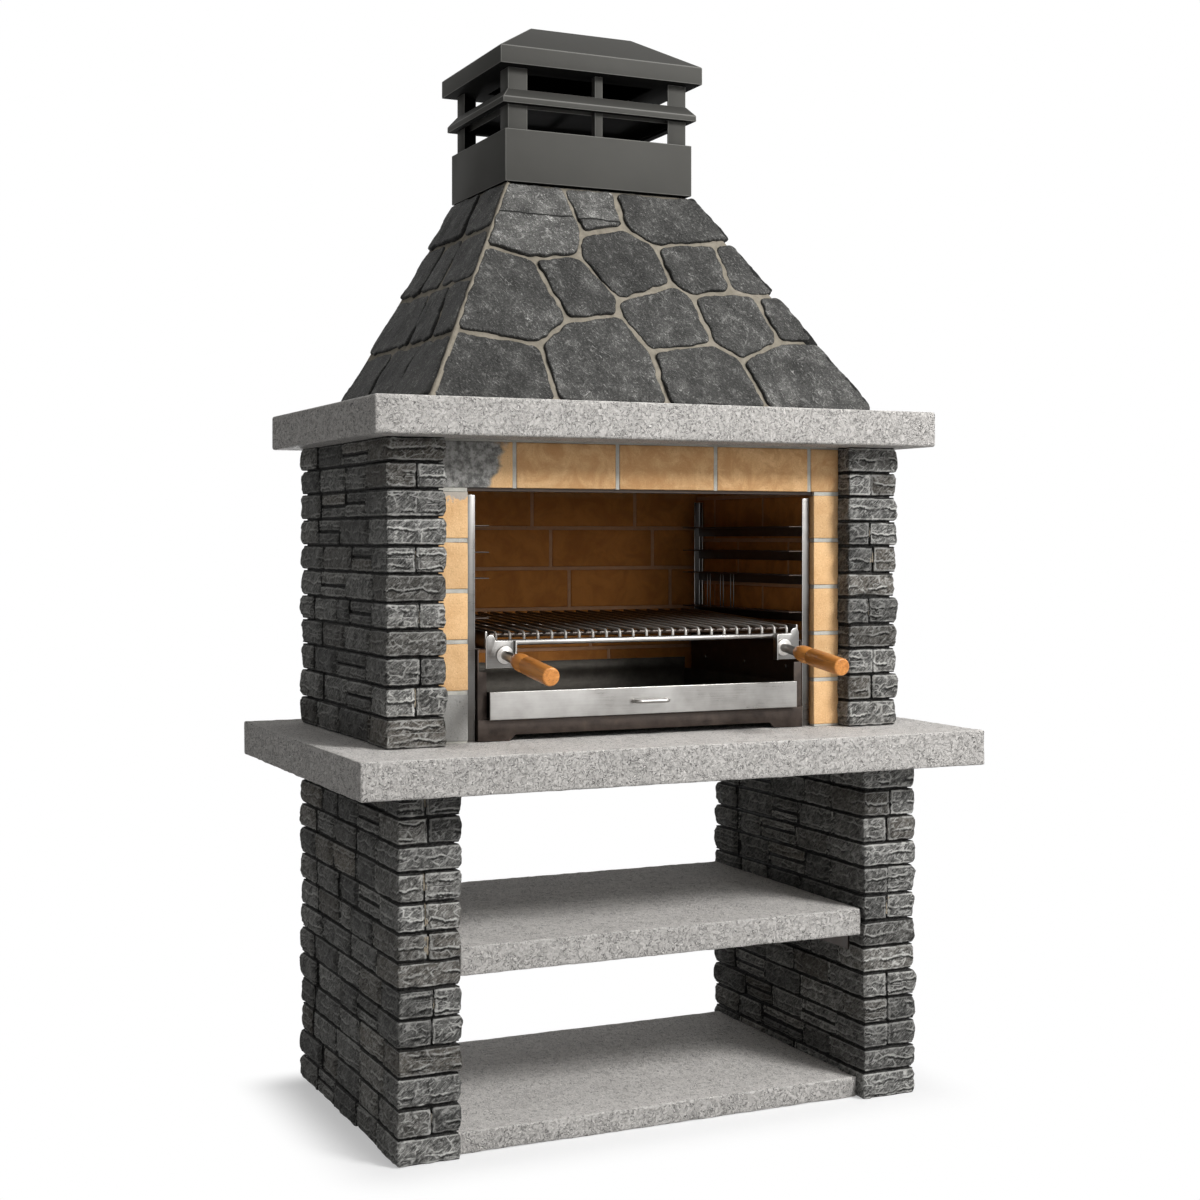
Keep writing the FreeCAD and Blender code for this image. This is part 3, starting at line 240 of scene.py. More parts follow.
# Where the grill's painted highlight fades into fire-blackened steel, from front to back, and how that slants
ROD_HIGHLIGHT_TO_BURNT = (-0.24, 0.06)
CROSS_BAR_HIGHLIGHT_TO_BURNT = (-0.9, -0.6)
HIGHLIGHT_AND_BURN_SKEW = 0.40
NO_BEVEL = 0.0
SHEET_BEVEL = 0.0007
PANEL_BEVEL = 0.0013
PAINTED_BEVEL = 0.0018

# Grips: how far they droop, and how far along them the shoulder is
GRIP_DROOP = math.radians(7.0)
GRIP_SHOULDER_FROM_START = 0.057

# Colours that more than one material has, and how much of a warm grey's loss of blue its green shares
POINTING_DARK = (0.30, 0.25, 0.18)
POINTING_LIGHT = (0.50, 0.43, 0.33)
SOOTED = (0.24, 0.075, 0.010)
# Heat browning and painted shade inside the hearth
BROWNED_AND_SHADED = (0.50, 0.180, 0.028)
WARM_GREEN = 0.2

rng = np.random.default_rng(SEED)


# Noise and meshes


def hashed(places, seed):
    """A value from 0 to 1 for each whole-numbered place."""
    n = np.bitwise_xor.reduce(places * SCATTER, axis=1) ^ (seed * SCATTER_SEED)
    n = ((n ^ (n >> SCATTER_SHIFTS[0])) * SCATTER_AGAIN) & SCATTER_KEPT
    n ^= n >> SCATTER_SHIFTS[1]
    return (n & SCATTER_TOP) / SCATTER_TOP


def eased(share):
    """A share from 0 to 1 that starts and ends gently."""
    return share * share * (3 - 2 * share)


def noise(points, size, seed):
    """Smooth noise from -1 to 1 at points, in lumps of about this size."""
    cells = points / size
    whole = np.floor(cells).astype(np.int64)
    ease = eased(cells - whole)
    total = np.zeros(len(points))
    for corner in np.ndindex(2, 2, 2):
        weight = np.prod(np.where(np.array(corner) == 1, ease, 1 - ease), axis=1)
        total += weight * hashed(whole + corner, seed)
    return total * 2 - 1


def layered(points, seed, *layers):
    """Layers of noise at points, added up."""
    total = np.zeros(len(points))
    for height, size, step in layers:
        total += height * noise(points, size, seed + step)
    return total


def new_seed():
    return int(rng.integers(1, SEED_COUNT))


def smooth_step(value, start, end):
    """From 0 to 1 as a value goes from start to end."""
    return eased(np.clip((value - start) / (end - start), 0, 1))


def grid_lines(low, high, step, rim_low, rim_high):
    """Grid lines from low to high, with closer ones for a rounded rim at either end."""
    start = low + rim_low
    end = high - rim_high
    middle = np.linspace(start, end, max(2, round((end - start) / step) + 1))
    first = low + RIM_STOPS * rim_low if rim_low else []
    last = high - RIM_STOPS[::-1] * rim_high if rim_high else []
    return np.concatenate([first, middle, last])


def sheet_quads(number):
    """Quads between the neighbouring points of a numbered sheet."""
    corners = [number[:-1, :-1], number[1:, :-1], number[1:, 1:], number[:-1, 1:]]
    return np.stack(corners, axis=-1).reshape(-1, 4)


def lattice(lines):
    """Points and outward quads of a box's surface, on the grid lines along its three axes."""
    counts = [len(line) for line in lines]
    number = np.arange(np.prod(counts)).reshape(counts)
    quads = []
    for axis in range(3):
        sheets = number.transpose(axis, (axis + 1) % 3, (axis + 2) % 3)
        quads.append(sheet_quads(sheets[0])[:, ::-1])
        quads.append(sheet_quads(sheets[-1]))
    used, renumbered = np.unique(np.concatenate(quads), return_inverse=True)
    places = np.unravel_index(used, counts)
    points = np.stack([line[place] for line, place in zip(lines, places)], axis=1)
    return points, renumbered.reshape(-1, 4)


def rounded(points, low, high, radius):
    """A box's surface points moved onto rounded edges, and the outward direction at each."""
    core = np.clip(points, low + radius, high - radius)
    out = points - core
    out /= np.linalg.norm(out, axis=1, keepdims=True)
    return core + out * radius, out


def rough_box(low, high, step, radius, seed, lumps, sunk=0.0, wear=()):
    """A box with rounded edges, uneven from wear, and a lumpy surface that is sunk a little."""
    flat, quads = lattice([grid_lines(low[axis], high[axis], step, radius, radius) for axis in range(3)])
    edge_wear_and_highlight = radius * (1 + layered(flat, seed, *wear))
    points, out = rounded(flat, low, high, edge_wear_and_highlight[:, None])
    heights = layered(flat, seed, *lumps) - sunk
    return points + out * heights[:, None], quads


def walls(rings):
    """Quads between rings of points, each ring below the one before it."""
    for above, below in zip(rings, rings[1:]):
        for i in range(len(above)):
            j = (i + 1) % len(above)
            yield above[j], above[i], below[i], below[j]


class MeshParts:
    """Points, faces and point attributes of many closed shapes, gathered for one piece."""

    def __init__(self):
        self.points = []
        self.faces = []
        self.values = {}
        self.count = 0

    def add(self, points, faces, **values):
        for face in faces:
            self.faces.append([int(i) + self.count for i in face])
        self.points.append(points)
        for name, value in values.items():
            self.values.setdefault(name, []).append(np.broadcast_to(value, len(points)))
        self.count += len(points)

    def piece(self, name, material, slot, node):
        """The piece with its material, in place of a CAD node of the masonry."""
        mesh = bpy.data.meshes.new(name)
        mesh.from_pydata(np.concatenate(self.points).tolist(), [], self.faces)
        for key, values in self.values.items():
            attribute = mesh.attributes.new(key, "FLOAT", "POINT")
            attribute.data.foreach_set("value", np.concatenate(values).astype(np.float32))
        mesh.shade_smooth()
        mesh.materials.append(material)
        place_piece(name, mesh, "masonry", slot, node)


def placed(name, data):
    """An object of the scene with this mesh, light or camera."""
    thing = bpy.data.objects.new(name, data)
    bpy.context.scene.collection.objects.link(thing)
    return thing


def place_piece(name, mesh, body, slot, *nodes):
    """An object with a mesh, riding on a body in place of CAD nodes."""
    piece = placed(name, mesh)
    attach(piece, body)
    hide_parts(*nodes)


def welded(node):
    """A CAD node's mesh with its corners joined, and flat faces made whole."""
    shape = bmesh.new()
    shape.from_mesh(frame["nodes"][node].data)
    bmesh.ops.remove_doubles(shape, verts=shape.verts, dist=WELD_WITHIN)
    bmesh.ops.dissolve_limit(shape, angle_limit=FLAT_ANGLE, verts=shape.verts, edges=shape.edges)
    return shape


def box_of(node):
    """The low and high corners of a CAD node."""
    return [np.array(corner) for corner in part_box(node)]


def corners_of(solid):
    return np.concatenate([corners for normal, corners in solid])


def solids(node):
    """The faces of each separate solid of a CAD node, as normals with corner points."""
    shape = welded(node)
    left = set(shape.faces)
    found = []
    while left:
        start = left.pop()
        solid = [start]
        waiting = [start]
        while waiting:
            face = waiting.pop()
            for edge in face.edges:
                for other in edge.link_faces:
                    if other in left:
                        left.remove(other)
                        solid.append(other)
                        waiting.append(other)
        found.append([(face.normal.copy(), np.array([v.co for v in face.verts])) for face in solid])
    shape.free()
    return sorted(found, key=lambda solid: tuple(np.round(corners_of(solid).mean(0), PLACE_DIGITS)))


def boxes(node):
    """The low and high corners of each solid of a CAD node."""
    for solid in solids(node):
        corners = corners_of(solid)
        yield corners.min(0), corners.max(0)


# Node trees


class Value:
    """A node's output. Arithmetic on it adds nodes to its tree."""

    def __init__(self, nodes, socket):
        self.nodes = nodes
        self.socket = socket

    def apply(self, operation, other=0.0):
        return self.nodes.value("Math", {0: self, 1: other}, operation=operation)

    def __add__(self, other):
        return self.apply("ADD", other)

    def __sub__(self, other):
        return self.apply("SUBTRACT", other)

    def __mul__(self, other):
        return self.apply("MULTIPLY", other)

    def __abs__(self):
        return self.apply("ABSOLUTE")

    def at_least(self, other):
        return self.apply("MAXIMUM", other)

    def vector(self, operation, other=(0.0, 0.0, 0.0), output=0):
        return self.nodes.value("VectorMath", {0: self, 1: other}, output, operation=operation)

    def part(self, axis):
        """One coordinate of a vector."""
        return self.nodes.value("SeparateXYZ", {"Vector": self}, axis)

    def span(self, start, end, low=0.0, high=1.0):
        """From low to high as the value goes from start to end, held at both ends."""
        inputs = {"Value": self, "From Min": start, "From Max": end, "To Min": low, "To Max": high}
        return self.nodes.value("MapRange", inputs, interpolation_type="SMOOTHSTEP")

    def varied(self, low, high):
        """From low to high over the usual spread of noise."""
        return self.span(*NOISE_SPREAD, low, high)

    def ramp(self, *stops):
        """A colour for each value, from (place, colour) stops."""
        node = self.nodes.add("ValToRGB", {"Fac": self})
        elements = node.color_ramp.elements
        while len(elements) < len(stops):
            elements.new(1.0)
        for element, (place, colour) in zip(elements, stops):
            element.position = place
            element.color = (*colour, 1.0)
        return Value(self.nodes, node.outputs["Color"])

    def mix(self, share, other, blend="MIX"):
        """This colour with a share of another."""
        node = self.nodes.add("Mix", data_type="RGBA", blend_type=blend)
        if isinstance(other, tuple):
            other = (*other, 1.0)
        for index, value in zip(MIX_INPUTS, (share, self, other)):
            self.nodes.feed(node.inputs[index], value)
        return Value(self.nodes, node.outputs[MIX_OUTPUT])

    def flecked(self, *flecks):
        """This colour with flecks of grey over it, each a share and a level."""
        colour = self
        for share, level in flecks:
            colour = colour.mix(share, grey(level))
        return colour

    def shaded(self, level):
        """This colour made darker or lighter by a level."""
        grey_level = self.nodes.value("CombineColor", {0: level, 1: level, 2: level})
        return self.mix(1.0, grey_level, "MULTIPLY")


class Nodes:
    """A node tree, built up one node at a time."""

    def __init__(self, tree):
        self.tree = tree

    def add(self, kind, inputs=None, **settings):
        """A node with its settings. An input is a constant or another node's output."""
        node = self.tree.nodes.new("ShaderNode" + kind)
        for name, value in settings.items():
            setattr(node, name, value)
        for key, value in (inputs or {}).items():
            self.feed(node.inputs[key], value)
        return node

    def value(self, kind, inputs=None, output=0, **settings):
        """One output of a new node."""
        return Value(self, self.add(kind, inputs, **settings).outputs[output])

    def feed(self, socket, value):
        if isinstance(value, Value):
            self.tree.links.new(value.socket, socket)
        else:
            socket.default_value = value

    def seen(self):
        """1 for what the camera sees, also in a mirror or through glass, and 0 for other light."""
        path = self.add("LightPath").outputs
        camera, glossy, through = [Value(self, path[f"Is {ray} Ray"]) for ray in SEEN_RAYS]
        return camera.at_least(glossy).at_least(through)


class Look(Nodes):
    """A procedural material."""

    def __init__(self, name):
        self.material = bpy.data.materials.new(name)
        self.material.use_nodes = True
        super().__init__(self.material.node_tree)
        self.shader = self.tree.nodes["Principled BSDF"]
        self.place = self.value("TexCoord", output="Object")

    def scaled(self, size, turn=(0, 0, 0)):
        """Object coordinates turned, then divided by a size along each axis."""
        turned = self.value("Mapping", {"Vector": self.place, "Rotation": turn})
        return self.value("Mapping", {"Vector": turned, "Scale": [1 / s for s in size]})

    def noise(self, size, detail=3.0, rough=0.55, bend=0.0, place=None):
        """Noise from 0 to 1 in lumps of about this size."""
        inputs = {
            "Vector": place or self.place,
            "Scale": 1 / size,
            "Detail": detail,
            "Roughness": rough,
            "Distortion": bend,
        }
        return self.value("TexNoise", inputs)

    def cells(self, size, feature="F1", place=None):
        """Distances in a pattern of cells of about this size."""
        return self.value("TexVoronoi", {"Vector": place or self.place, "Scale": 1 / size}, feature=feature)

    def attribute(self, name):
        return self.value("Attribute", output="Fac", attribute_name=name)

    def axis(self, name):
        """One of the object coordinates."""
        return self.place.part(name)

    def normal(self):
        return self.value("NewGeometry", output="Normal")

    def facing(self, name):
        """How far the surface faces along an axis, from -1 to 1."""
        return self.normal().part(name)

    def bumps(self, *layers):
        """The normal of bumps over each other, each a height from 0 to 1 and its depth in metres."""
        under = {}
        for height, depth in layers:
            normal = self.value("Bump", {"Height": height, "Distance": depth, "Strength": 1.0, **under})
            under = {"Normal": normal}
        return normal

    def finish(self, colour, roughness, normal=None, metallic=0.0, specular=0.5):
        """The material, with these values on its shader."""
        values = {
            "Base Color": colour,
            "Roughness": roughness,
            "Metallic": metallic,
            "Specular IOR Level": specular,
        }
        if normal is not None:
            values["Normal"] = normal
        for name, value in values.items():
            self.feed(self.shader.inputs[name], value)
        return self.material


def grey(value, warm=0.06):
    """A grey with a little less blue in it."""
    return (value, value * (1 - warm * WARM_GREEN), value * (1 - warm))


def times(level, colour):
    """A plain colour made darker or lighter."""
    return tuple(level * c for c in colour)


# Materials


def stone_look():
    """Dark split stone with flakes and dust: painted highlights on its edges, ridges and flakes and in broken
    lines along its beds, and painted shade in its bed crevices, at its rims and in its joints.
    """
    look = Look("split_stone")
    # The painted highlights and bed shade are full on a pier's front and half as strong on its sides
    painted_marks_share = look.attribute("side").span(0.0, 1.0, 1.0, 0.5)
    edge = look.attribute("edge")
    broad = look.noise(0.03, 5.0, 0.6)
    grain = look.noise(0.004, 6.0, 0.7)
    flakes = look.noise(0.012, 4.0, 0.62, 0.8, look.scaled((1.0, 1.0, 0.45), (0.6, 0.6, 0.0)))
    hatch = look.noise(0.018, 3.0, 0.6, 0.6, look.scaled((1.0, 1.0, 0.16), (0.6, 0.6, 0.0)))
    body = broad.ramp((0.28, grey(0.040)), (0.50, grey(0.115)), (0.72, grey(0.260)))
    body = body.mix(look.attribute("brown") * 0.6, (0.170, 0.140, 0.105))
    # Painted highlight along each stone's rounded edges, broken up
    break_up = look.noise(0.016, 3.0).span(0.32, 0.58, 0.2, 1.0)
    edge_wear_and_highlight = abs(edge - 0.0034).span(0.0006, 0.0034, 0.85, 0.0) * break_up
    bed_gap = look.attribute("bed") + (look.noise(0.007, 2.0) - 0.5) * 0.007
    shown = look.noise(0.045, 2.0).span(0.40, 0.56) * painted_marks_share
    bed_crevice_shade = abs(bed_gap + 0.0045).span(0.0008, 0.0034, 0.9, 0.0)
    # Light flakes, hatch, ridges, edges and bed lines are painted highlights; the dark flakes and hatch are
    # partly painted shade, and the bed crevices are painted shade
    body = body.flecked(
        (grain.span(0.46, 0.66, 0.0, 0.6), 0.26),
        (grain.span(0.44, 0.30, 0.0, 0.6), 0.020),
        (flakes.span(0.46, 0.34, 0.0, 0.75), 0.018),
        (hatch.span(0.46, 0.34, 0.0, 0.7), 0.026),
        (hatch.span(0.54, 0.68, 0.0, 0.7) * painted_marks_share, 0.45),
        (flakes.span(0.53, 0.68, 0.0, 0.8) * painted_marks_share, 0.47),
        (stone_ridge_highlights(look) * painted_marks_share, 0.52),
        (edge_wear_and_highlight * painted_marks_share, 0.54),
        (abs(bed_gap).span(0.0004, 0.0028, 0.95, 0.0) * shown, 0.54),
        (bed_crevice_shade * shown, 0.012),
    )
    body = body.shaded(look.attribute("tone").span(0.0, 1.0, 0.66, 1.42))
    # Painted shade at each stone's rim and on its hidden faces, which also darkens the bedding in the joints
    body = body.flecked((edge.span(0.0, 0.0015, 0.85, 0.0), 0.012))
    body = body.mix(look.attribute("pointing"), grain.ramp((0.35, POINTING_DARK), (0.65, POINTING_LIGHT)))
    pits = look.noise(0.006, 5.0, 0.65, 0.5)
    normal = look.bumps((flakes, 0.008), (hatch, 0.0045), (pits, 0.0024), (grain, 0.0010))
    return look.finish(body, grain.varied(0.66, 0.88), normal, specular=0.14)


def stone_ridge_highlights(look):
    """Curved lines of painted highlight on the ridges between the shells that splitting broke away, shown
    only in part.
    """
    bend = look.value("TexNoise", {"Vector": look.place, "Scale": 1 / 0.03, "Detail": 2.0}, "Color")
    bent = look.place.vector("ADD", bend.vector("MULTIPLY", (0.022, 0.022, 0.022)))
    gap = look.cells(0.034, "DISTANCE_TO_EDGE", bent.vector("MULTIPLY", (1.0, 1.0, 1.7)))
    return gap.span(0.015, 0.07, 0.75, 0.0) * look.noise(0.025, 2.0).span(0.46, 0.6)


def slate_look():
    """Riven slate: fine streaks, pale scuffs, dark cracks and a painted shadow along its rim."""
    look = Look("slate")
    broad = look.noise(0.05, 6.0, 0.65)
    grain = look.noise(0.0040, 5.0, 0.72)
    streak = look.noise(0.007, 4.0, 0.6, 1.5, look.scaled((0.8, 0.8, 2.2), (0.5, 0.5, 0.3)))
    scratch = abs(look.noise(0.03, 3.0, 0.6, 2.0) - 0.5).span(0.0, 0.012, 0.9, 0.0)
    scuff = look.noise(0.045, 8.0, 0.74, 1.0)
    uneven_edge = look.attribute("edge") + grain.span(0.2, 0.8, -0.0015, 0.0015)
    crack = abs(look.attribute("crack"))
    body = broad.ramp((0.30, grey(0.028)), (0.52, grey(0.054)), (0.72, grey(0.105)))
    body = body.flecked(
        (grain.span(0.52, 0.70, 0.0, 0.7), 0.21),
        (grain.span(0.46, 0.32, 0.0, 0.8), 0.010),
        (scratch * broad.span(0.5, 0.6), 0.40),
        (streak.span(0.58, 0.70, 0.0, 0.7), 0.30),
        (streak.span(0.40, 0.28, 0.0, 0.7), 0.014),
        (scuff.span(0.58, 0.66, 0.0, 0.45), 0.25),
        # Painted shadow along each slate's rim
        (uneven_edge.span(0.0, 0.0036, 0.9, 0.0), 0.012),
        (crack.span(0.0014, 0.0042, 0.97, 0.0), 0.004),
    )
    body = body.shaded(look.attribute("tone").span(0.0, 2.0, 0.97, 2.6))
    waves = look.noise(0.02, 7.0, 0.68, 0.8)
    ripples = look.noise(0.010, 2.0, 0.5, 2.4)
    normal = look.bumps((waves, 0.0085), (ripples, 0.0042), (streak, 0.0020), (grain, 0.0012))
    return look.finish(body, grain.varied(0.58, 0.82), normal, specular=0.16)


def slab_look():
    """Reconstituted stone: worm-like light flecks with a painted shadow on one side of each, softer on its
    top.
    """
    look = Look("aggregate_slab")
    top = look.facing("Z").span(0.6, 0.9)
    run = look.scaled(SLAB_FLECK_RUN)
    broad = look.noise(0.09, 4.0, 0.55)
    fine = look.noise(0.0030, 3.0, 0.65, 0.0, run)
    worm = look.noise(0.0085, 1.0, 0.5, 2.2, run) - 0.5
    light = abs(worm).span(0.012, 0.050, 1.0, 0.0)
    # Painted shadow beside each light worm, so that it looks raised
    dark = abs(worm - 0.085).span(0.012, 0.045, 1.0, 0.0) * look.noise(0.014, 2.0).span(0.36, 0.56)
    rough = broad.ramp((0.3, grey(0.49)), (0.7, grey(0.57)))
    rough = rough.flecked(
        (light * 0.75, 0.86),
        (dark * 0.85, 0.07),
        (fine.span(0.46, 0.3, 0.0, 0.6), 0.16),
    )
    smooth = broad.ramp((0.3, grey(0.59)), (0.7, grey(0.67)))
    smooth = smooth.flecked(
        (light * 0.72, 0.88),
        (dark * 0.80, 0.11),
        (fine.span(0.46, 0.3, 0.0, 0.55), 0.22),
    )
    colour = rough.mix(top, smooth).mix(1.0, SLAB_TINT, "MULTIPLY")
    depth = top.span(0.0, 1.0, 1.0, 0.35)
    normal = look.bumps(((light - dark) * depth, 0.0014), (fine * depth, 0.0012))
    return look.finish(colour, fine.varied(0.62, 0.85), normal, specular=0.15)


def concrete_base(look):
    """Colour and bump height of grey cast concrete."""
    grain = look.noise(0.003, 4.0, 0.65)
    colour = look.noise(0.16, 6.0, 0.6).ramp((0.3, grey(0.29)), (0.7, grey(0.35)))
    colour = colour.flecked(
        (look.cells(0.016).span(0.16, 0.08, 0.0, 0.55), 0.10),
        (grain.span(0.42, 0.3, 0.0, 0.6), 0.10),
        (grain.span(0.6, 0.72, 0.0, 0.5), 0.52),
    )
    return colour, grain


def concrete_look():
    """Grey cast concrete."""
    look = Look("concrete")
    colour, grain = concrete_base(look)
    normal = look.bumps((look.noise(0.015, 5.0, 0.6), 0.002), (grain, 0.001))
    return look.finish(colour, grain.varied(0.75, 0.92), normal, specular=0.3)


def brick_base(look, level):
    """Colour and bump height of buff firebrick with darker sandy specks."""
    grain = look.noise(0.0032, 4.0, 0.65)
    stain = look.noise(0.018, 5.0, 0.65, 0.8)
    colour = look.noise(0.04, 4.0, 0.55).ramp((0.3, (0.67, 0.405, 0.19)), (0.7, (0.77, 0.50, 0.255)))
    colour = colour.mix(grain.span(0.46, 0.28, 0.0, 0.7), (0.40, 0.20, 0.075))
    colour = colour.mix(grain.span(0.56, 0.70, 0.0, 0.6), (0.93, 0.70, 0.43))
    colour = colour.mix(stain.span(0.56, 0.72, 0.0, 0.45), (0.58, 0.32, 0.13))
    return colour.shaded(level), grain


def heated_and_shaded(look):
    """From 0 at the hearth's front to 1 inside it, where heat and smoke have turned the masonry brown and its
    colour is darkened as painted shade.
    """
    return look.axis("Y").span(*BROWNED_AND_SHADED_DEPTH) * abs(look.axis("X")).span(*BROWNED_AND_SHADED_SIDE)


def brick_look():
    """Firebrick: brown from heat and darkened with painted shade in the hearth, smoked and warmed with
    painted shade at the lintel, with cement on the left jamb's head.
    """
    look = Look("firebrick")
    colour, grain = brick_base(look, look.attribute("tone").span(0.0, 1.0, 0.88, 1.06))
    # Inside the hearth the brick turns brown from heat and darker as painted shade, with patches of smoke
    # black
    colour = colour.mix(heated_and_shaded(look) * 0.94, BROWNED_AND_SHADED)
    soot_and_shade = look.noise(0.06, 6.0, 0.68, 0.6).span(0.35, 0.65, 0.0, 0.5)
    colour = colour.mix(heated_and_shaded(look) * soot_and_shade, SOOTED)
    # Smoke and painted warm shade over the lintel's bricks
    wisps = look.noise(0.05, 6.0, 0.68, 0.8).span(0.36, 0.62, 0.05, 0.65)
    colour = colour.mix(look.axis("Z").span(*SMOKED_AND_SHADED_LEVEL) * wisps, (0.46, 0.225, 0.080))
    level = look.axis("Z") + look.noise(0.012, 3.0).varied(-0.008, 0.008)
    smear = level.span(*SMEAR_FOOT) * look.axis("X").span(*SMEAR_SIDE) * look.axis("Z").span(*SMEAR_HEAD)
    colour = colour.mix(smear * 0.85, grey(0.36))
    normal = look.bumps((look.noise(0.01, 4.0, 0.6), 0.0012), (grain, 0.0007))
    return look.finish(colour, grain.varied(0.72, 0.9), normal, specular=0.3)


def bearing_look():
    """The lintel's left end: cement with a ragged edge over brick."""
    look = Look("bearing_block")
    brick, brick_grain = brick_base(look, 0.97)
    cement, cement_grain = concrete_base(look)
    slant = (look.axis("Z") - CEMENT_EDGE_LEVEL) * CEMENT_EDGE_SLANT
    edge = look.axis("X") + look.noise(0.030, 3.0).span(0.25, 0.75, -0.014, 0.014)
    share = (edge + slant).span(*CEMENT_EDGE)
    stain = look.noise(0.014, 6.0, 0.7).span(0.36, 0.64, 0.36, 1.12)
    colour = cement.shaded(stain).mix(share, brick)
    grain = cement_grain.mix(share, brick_grain)
    normal = look.bumps((look.noise(0.012, 5.0, 0.6), 0.0016), (grain, 0.0008))
    return look.finish(colour, brick_grain.varied(0.75, 0.9), normal, specular=0.3)


def mortar_look(name, dark, light, browned_and_shaded=0.0):
    """Trowelled mortar with sand in it, brown from heat and darkened with painted shade to a share inside the
    hearth.
    """
    look = Look(name)
    broad = look.noise(0.02, 4.0, 0.6)
    sand = look.noise(0.0026, 3.0, 0.6)
    colour = broad.ramp((0.3, dark), (0.7, light)).mix(heated_and_shaded(look) * browned_and_shaded, BROWNED_AND_SHADED)
    colour = colour.mix(sand.span(0.42, 0.3, 0.0, 0.5), times(0.45, dark))
    normal = look.bumps((broad, 0.0018), (sand, 0.0008))
    return look.finish(colour, sand.varied(0.78, 0.94), normal, specular=0.25)


def paint_look():
    """Satin dark paint on sheet steel: a little dusty, with painted shade on what faces up, a painted
    highlight on its bevelled edges, and near-black inside the chimney and under it, partly from smoke and
    partly painted shade.
    """
    look = Look("chimney_metal")
    dust = look.noise(0.12, 4.0, 0.5)
    specks = look.noise(0.004, 5.0, 0.7)
    colour = dust.ramp((0.3, grey(0.070, 0.10)), (0.7, grey(0.080, 0.10)))
    colour = colour.mix(specks.span(0.60, 0.78, 0.0, 0.35), grey(0.12, 0.10))
    # Painted shade on what faces up, which the lamps light more
    colour = colour.shaded(look.facing("Z").span(0.3, 0.75, 1.0, 0.67))
    # Painted highlight on the bevelled edges, partly wear of the paint
    colour = colour.mix(look.attribute("edge_wear_and_highlight") * 0.7, grey(0.20, 0.08))
    # Near-black on what faces the flue and what faces down: smoke inside, and painted shade there and under
    # the cap
    from_flue = look.place.vector("SUBTRACT", FLUE_MIDDLE).vector("MULTIPLY", (1.0, 1.0, 0.0))
    outward = from_flue.vector("DOT_PRODUCT", look.normal(), "Value")
    soot_and_shade = outward.span(0.0, -0.03).at_least(look.facing("Z").span(-0.7, -0.95))
    colour = colour.mix(soot_and_shade * 0.97, grey(0.004, 0.10))
    orange_peel = look.bumps((look.noise(0.0022, 2.0, 0.5), 0.00012))
    return look.finish(colour, dust.varied(0.58, 0.66).at_least(soot_and_shade), orange_peel, specular=0.05)


def dark_steel_look():
    """Hot-rolled steel with brown scale."""
    look = Look("dark_steel")
    scale = look.noise(0.03, 6.0, 0.65)
    colour = scale.ramp((0.3, (0.030, 0.022, 0.018)), (0.6, (0.060, 0.045, 0.037)), (0.8, (0.10, 0.07, 0.05)))
    normal = look.bumps((look.noise(0.004, 4.0, 0.6), 0.0003))
    return look.finish(colour, scale.varied(0.34, 0.55), normal, metallic=0.55, specular=0.4)


def stainless_look(name, level):
    """Brushed stainless steel with smudges and a painted highlight on its bevelled edges."""
    look = Look(name)
    brushed = look.noise(0.0016, 3.0, 0.6, 0.0, look.scaled((60.0, 3.0, 1.0)))
    smudge = look.noise(0.09, 4.0, 0.6)
    clean = times(level, (1.04, 1.01, 0.97))
    colour = smudge.ramp((0.35, times(level, (0.74, 0.71, 0.67))), (0.62, clean))
    colour = colour.mix(brushed.varied(0.0, 0.3), times(1.15, clean))
    # Painted highlight on the bevelled edges
    colour = colour.mix(look.attribute("edge_wear_and_highlight") * 0.8, (0.80, 0.78, 0.75))
    roughness = brushed.varied(0.0, 0.08) + smudge.varied(0.26, 0.36)
    return look.finish(colour, roughness, look.bumps((brushed, 0.00006)), metallic=1.0)


def rod_look(name, first, last):
    """Steel rods with a painted highlight in front and towards the right, fading into fire-blackened steel
    behind, between two places from front to back.
    """
    look = Look(name)
    tint = look.noise(0.09, 3.0, 0.5)
    # Where the painted highlight fades into fire-blackened steel, reaching further back towards the right
    place = look.axis("Y") + tint.span(0.2, 0.8, -0.04, 0.04) - look.axis("X") * HIGHLIGHT_AND_BURN_SKEW
    used = place.span(first, last)
    highlit_steel = tint.ramp((0.3, (0.36, 0.345, 0.32)), (0.7, (0.50, 0.48, 0.45)))
    burnt = tint.ramp((0.3, (0.022, 0.012, 0.006)), (0.7, (0.050, 0.028, 0.015)))
    normal = look.bumps((look.noise(0.003, 4.0, 0.6), 0.00008))
    roughness = used.span(0.0, 1.0, 0.42, 0.36)
    return look.finish(highlit_steel.mix(used, burnt), roughness, normal, used.span(0.0, 1.0, 0.45, 0.2))


def plain_steel_look():
    """Smoked mild steel, with ash, smoke black and painted shade on what faces up, and a painted highlight on
    its rim.
    """
    look = Look("plain_steel")
    scale = look.noise(0.04, 6.0, 0.65)
    ash = look.noise(0.007, 5.0, 0.7)
    upward = look.facing("Z").span(0.5, 0.9)
    steel = scale.ramp((0.3, (0.030, 0.026, 0.021)), (0.7, (0.075, 0.068, 0.058)))
    # What faces up is dark from ash and smoke and as painted shade
    sooty_and_shaded = ash.ramp((0.35, (0.010, 0.007, 0.005)), (0.75, (0.036, 0.026, 0.018)))
    # Painted highlight on the top of the pan's rim
    rim = upward * look.axis("Z").span(*PAN_RIM)
    colour = steel.mix(upward, sooty_and_shaded).mix(rim, (0.40, 0.39, 0.37))
    roughness = scale.varied(0.42, 0.6).at_least(upward * 0.85)
    metallic = upward.span(0.0, 1.0, 0.55, 0.0)
    return look.finish(colour, roughness, look.bumps((ash, 0.0008)), metallic, specular=0.2)


